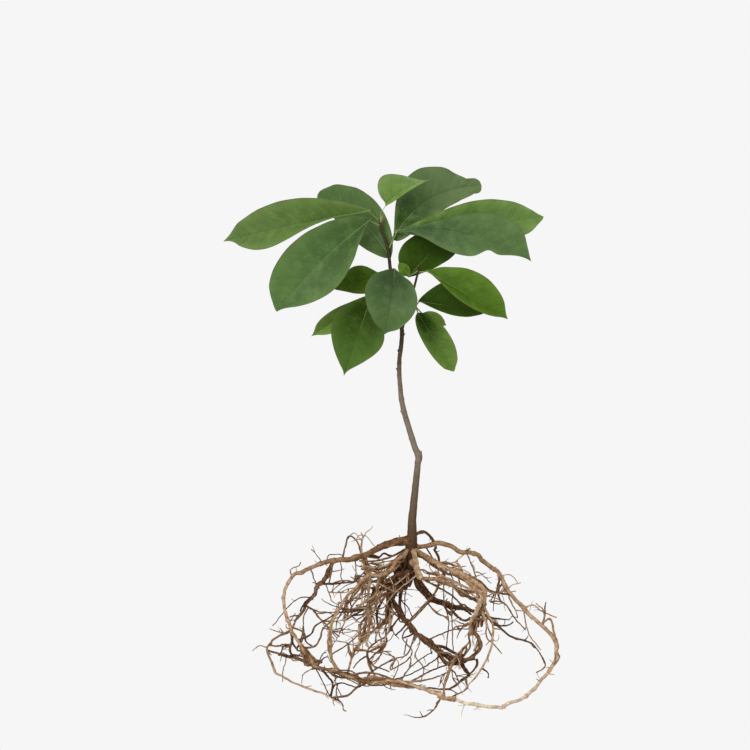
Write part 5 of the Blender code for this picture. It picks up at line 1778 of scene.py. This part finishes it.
def blade(name, spec, seed):
    """A blade: a grid bent to its place, mapped, and given its thickness."""
    deselect()
    bpy.ops.mesh.primitive_grid_add(x_subdivisions=BLADE_COLUMNS, y_subdivisions=BLADE_ROWS, size=2)
    made = bpy.context.object
    made.name = name
    mesh = made.data
    mesh.uv_layers[0].name = "blade"
    shares = mesh.uv_layers.new(name="share")
    marks = []
    for vertex in mesh.vertices:
        along = (vertex.co.y + 1) / 2
        across = math.copysign(abs(vertex.co.x) ** COLUMNS_TO_RIB, vertex.co.x)
        point, count, out = blade_point(spec, along, across, seed)
        vertex.co = at(point)
        marks.append(((count / MAP_VEINS, out / MAP_SPAN + 0.5), (along, 0.5 + 0.5 * across)))
    for loop in mesh.loops:
        mesh.uv_layers["blade"].data[loop.index].uv, shares.data[loop.index].uv = marks[loop.vertex_index]
    mesh.materials.append(LEAF_SKINS[spec["tone"]])
    mesh.materials.append(UNDERSIDE)
    wall = made.modifiers.new("wall", "SOLIDIFY")
    wall.thickness = BLADE_WALL * MM
    wall.offset = 0.0
    wall.material_offset = 1
    bpy.ops.object.modifier_apply(modifier=wall.name)
    return made


for mass in SHOOTS:
    blades = [blade(f"{mass}_{i}", s, i) for i, s in enumerate(LEAVES) if s["mass"] == mass]
    made = joined(mass + "_blades", blades)
    smooth(made, 70)
    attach(made, "root")
    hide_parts(mass)
    print(mass, len(blades), "blades,", len(made.data.polygons), "faces")

# %% [markdown]
# ### Stalks, ribs and twigs
#
# The leaf stalk goes on under the blade as its rib. Seen from above the rib is a thin pale line in
# its groove; below, it stands out as a keel. One tapering tube makes stalk and rib together. The
# short twig that carries the leaves is bark, as the stem is.

# %% Stalks and twigs
STALK_THICKNESS = 1.7
THIN_STALKS = {"young": 0.7, "sunlit": 1.2, "deep": 1.4}
RIB_THICKNESS = 1.2
RIB_SUNK = 0.1
RIB_FROM = 0.02
RIB_LENGTH = 0.95
RIB_POINTS = 24
RIB_THINS = 0.78
STALK_SAG = 0.8
STALK_FOOT = 1.15
STALK_WAIST = 0.92
STALK_STEP = 2.5
TWIG_CORK = (1.4, 0.25)


def stalk_line(spec, seed):
    """From inside the twig, along the stalk, and on under the blade as its rib."""
    foot = Vector(spec["foot"])
    stout = THIN_STALKS.get(spec["tone"], STALK_THICKNESS)
    base = blade_point(spec, RIB_FROM, 0.0, seed)[0] - Vector((0, 0, 0.4 * RIB_THICKNESS))
    waist = foot.lerp(base, 0.5) - Vector((0, 0, STALK_SAG))
    line = [(foot, stout * STALK_FOOT), (waist, stout * STALK_WAIST), (base, min(stout, RIB_THICKNESS))]
    for i in range(1, RIB_POINTS + 1):
        along = RIB_FROM + RIB_LENGTH * i / RIB_POINTS
        _, _, face = rib_frame(spec, along)
        thickness = RIB_THICKNESS * (1 - RIB_THINS * along)
        middle = blade_point(spec, along, 0.0, seed)[0]
        line.append((middle - face * (thickness * 0.5 + RIB_SUNK), thickness))
    return limb_line([(*p, t) for p, t in line], STALK_STEP)


for mass, guides in SHOOTS.items():
    stalks = [stalk_line(s, i) for i, s in enumerate(LEAVES) if s["mass"] == mass]
    made = tubes(mass + "_stalks", stalks, 8)
    smooth(made, 80)
    dressed(made, "leaf", STALK)
    bare = guides[:-1] if mass == "leaves_top" else guides
    twig = tubes(mass + "_twig", [limb_line(bare, 1.0)], 12)
    relieved(twig, *TWIG_CORK)
    smooth(twig)
    dressed(twig, "bark", BARK)
    print(mass, len(stalks), "stalks")

# %% [markdown]
# ## The tip bud
#
# The stem ends in a long narrow bud, wrapped in silky tan scales whose tips part. Each scale is a
# slim spindle, thickest a third of the way up, and they lean apart from a common foot.

# %% The tip bud
BUD_FOOT = (-39.6, 397, 77.5)
BUD_SCALES = [((-39.4, 411, 80), 1.3), ((-36.0, 409, 81), 1.4), ((-38.0, 406, 79), 2.4)]
BUD_PROFILE = [(0.0, 0.75), (0.15, 0.95), (0.35, 1.0), (0.6, 0.8), (0.8, 0.5), (0.93, 0.25), (1.0, 0.08)]


def bud_skin():
    """Silky scales: tan, with a soft sheen along them."""
    finish, tree, surface = new_finish("silky_bud_skin", 0.55)
    base = layered(tree, colour("#b39b68"), (grain(tree, 1.4), "#65502f"))
    tree.links.new(base, surface.inputs["Base Color"])
    surface.inputs["Sheen Weight"].default_value = 0.35
    return finish


scales = []
for tip, thickness in BUD_SCALES:
    guides = [(*Vector(BUD_FOOT).lerp(Vector(tip), along), thickness * share) for along, share in BUD_PROFILE]
    scales.append(limb_line(guides, 0.6))
tip_bud = tubes("tip_bud", scales, 10)
smooth(tip_bud, 80)
dressed(tip_bud, "bark", bud_skin())
print("tip bud faces:", len(tip_bud.data.polygons))

# %% [markdown]
# ## The bench, the light and the camera
#
# The plant is looked at as a cut-out: to the eye the sheet it lies on is one flat white, with no
# shadow, but it gives the plant only the light that a grey table would, so the undersides of the
# roots stay dark. A pale sky gives most of the light and one broad soft lamp gives the leaves their
# form. The camera hangs straight above with a long lens.

# %% Bench
FLOOR_SIDE = 8.0
FLOOR_DEPTH = 0.5
PAPER_WHITE = "#F6F6F6"
TABLE_GREY = 0.30


def bench():
    """The sheet: flat white to the camera, a grey table to the plant's own light."""
    deselect()
    bpy.ops.mesh.primitive_plane_add(size=FLOOR_SIDE, location=(0, 0, -FLOOR_DEPTH * MM))
    made = bpy.context.object
    made.name = "bench"
    bpy.ops.object.transform_apply(location=True, rotation=True, scale=True)
    finish, tree, surface = new_finish("flat_white_sheet", 0.9, 0.0)
    surface.inputs["Base Color"].default_value = (TABLE_GREY, TABLE_GREY, TABLE_GREY, 1.0)
    seen = add(tree, "ShaderNodeLightPath").outputs["Is Camera Ray"]
    white = add(tree, "ShaderNodeEmission", {"Color": colour(PAPER_WHITE), "Strength": 1.0})
    shown = {0: seen, 1: surface.outputs["BSDF"], 2: white.outputs["Emission"]}
    both = add(tree, "ShaderNodeMixShader", shown)
    tree.links.new(both.outputs["Shader"], tree.nodes["Material Output"].inputs["Surface"])
    made.data.materials.append(finish)


bench()

# %% Light
SKY = 0.80
KEY_WATTS = 34.0
KEY_SIDE = 1.2
KEY_PLACE = (-0.9, 1.1, 2.2)
KEY_AIM = (0.0, 0.05, 0.07)


def light():
    """A white sky, and one broad lamp above the leaves."""
    world = bpy.data.worlds.new("white_sky")
    world.use_nodes = True
    sky = world.node_tree.nodes["Background"]
    sky.inputs["Color"].default_value = (1.0, 1.0, 1.0, 1.0)
    sky.inputs["Strength"].default_value = SKY
    bpy.context.scene.world = world
    deselect()
    bpy.ops.object.light_add(type="AREA", location=KEY_PLACE)
    lamp = bpy.context.object
    lamp.name = "soft_key"
    lamp.data.shape = "SQUARE"
    lamp.data.size = KEY_SIDE
    lamp.data.energy = KEY_WATTS
    aim = Vector(KEY_AIM) - lamp.location
    lamp.rotation_euler = aim.to_track_quat("-Z", "Y").to_euler()


light()

# %% Camera
CAMERA_HEIGHT = 4.5
VIEW_WIDTH = 937.5
VIEW_CENTRE = (-46.25, 207.5, 75.0)


def camera():
    """Straight above the middle of the view, with the stem upright in it."""
    deselect()
    centre = at(VIEW_CENTRE)
    bpy.ops.object.camera_add(location=(centre.x, centre.y, CAMERA_HEIGHT), rotation=(0, 0, 0))
    made = bpy.context.object
    made.data.sensor_width = 36.0
    made.data.lens = made.data.sensor_width * (CAMERA_HEIGHT - centre.z) / (VIEW_WIDTH * MM)
    bpy.context.scene.camera = made
    bpy.context.scene.view_settings.view_transform = "Standard"
    print("lens:", round(made.data.lens, 1))


camera()
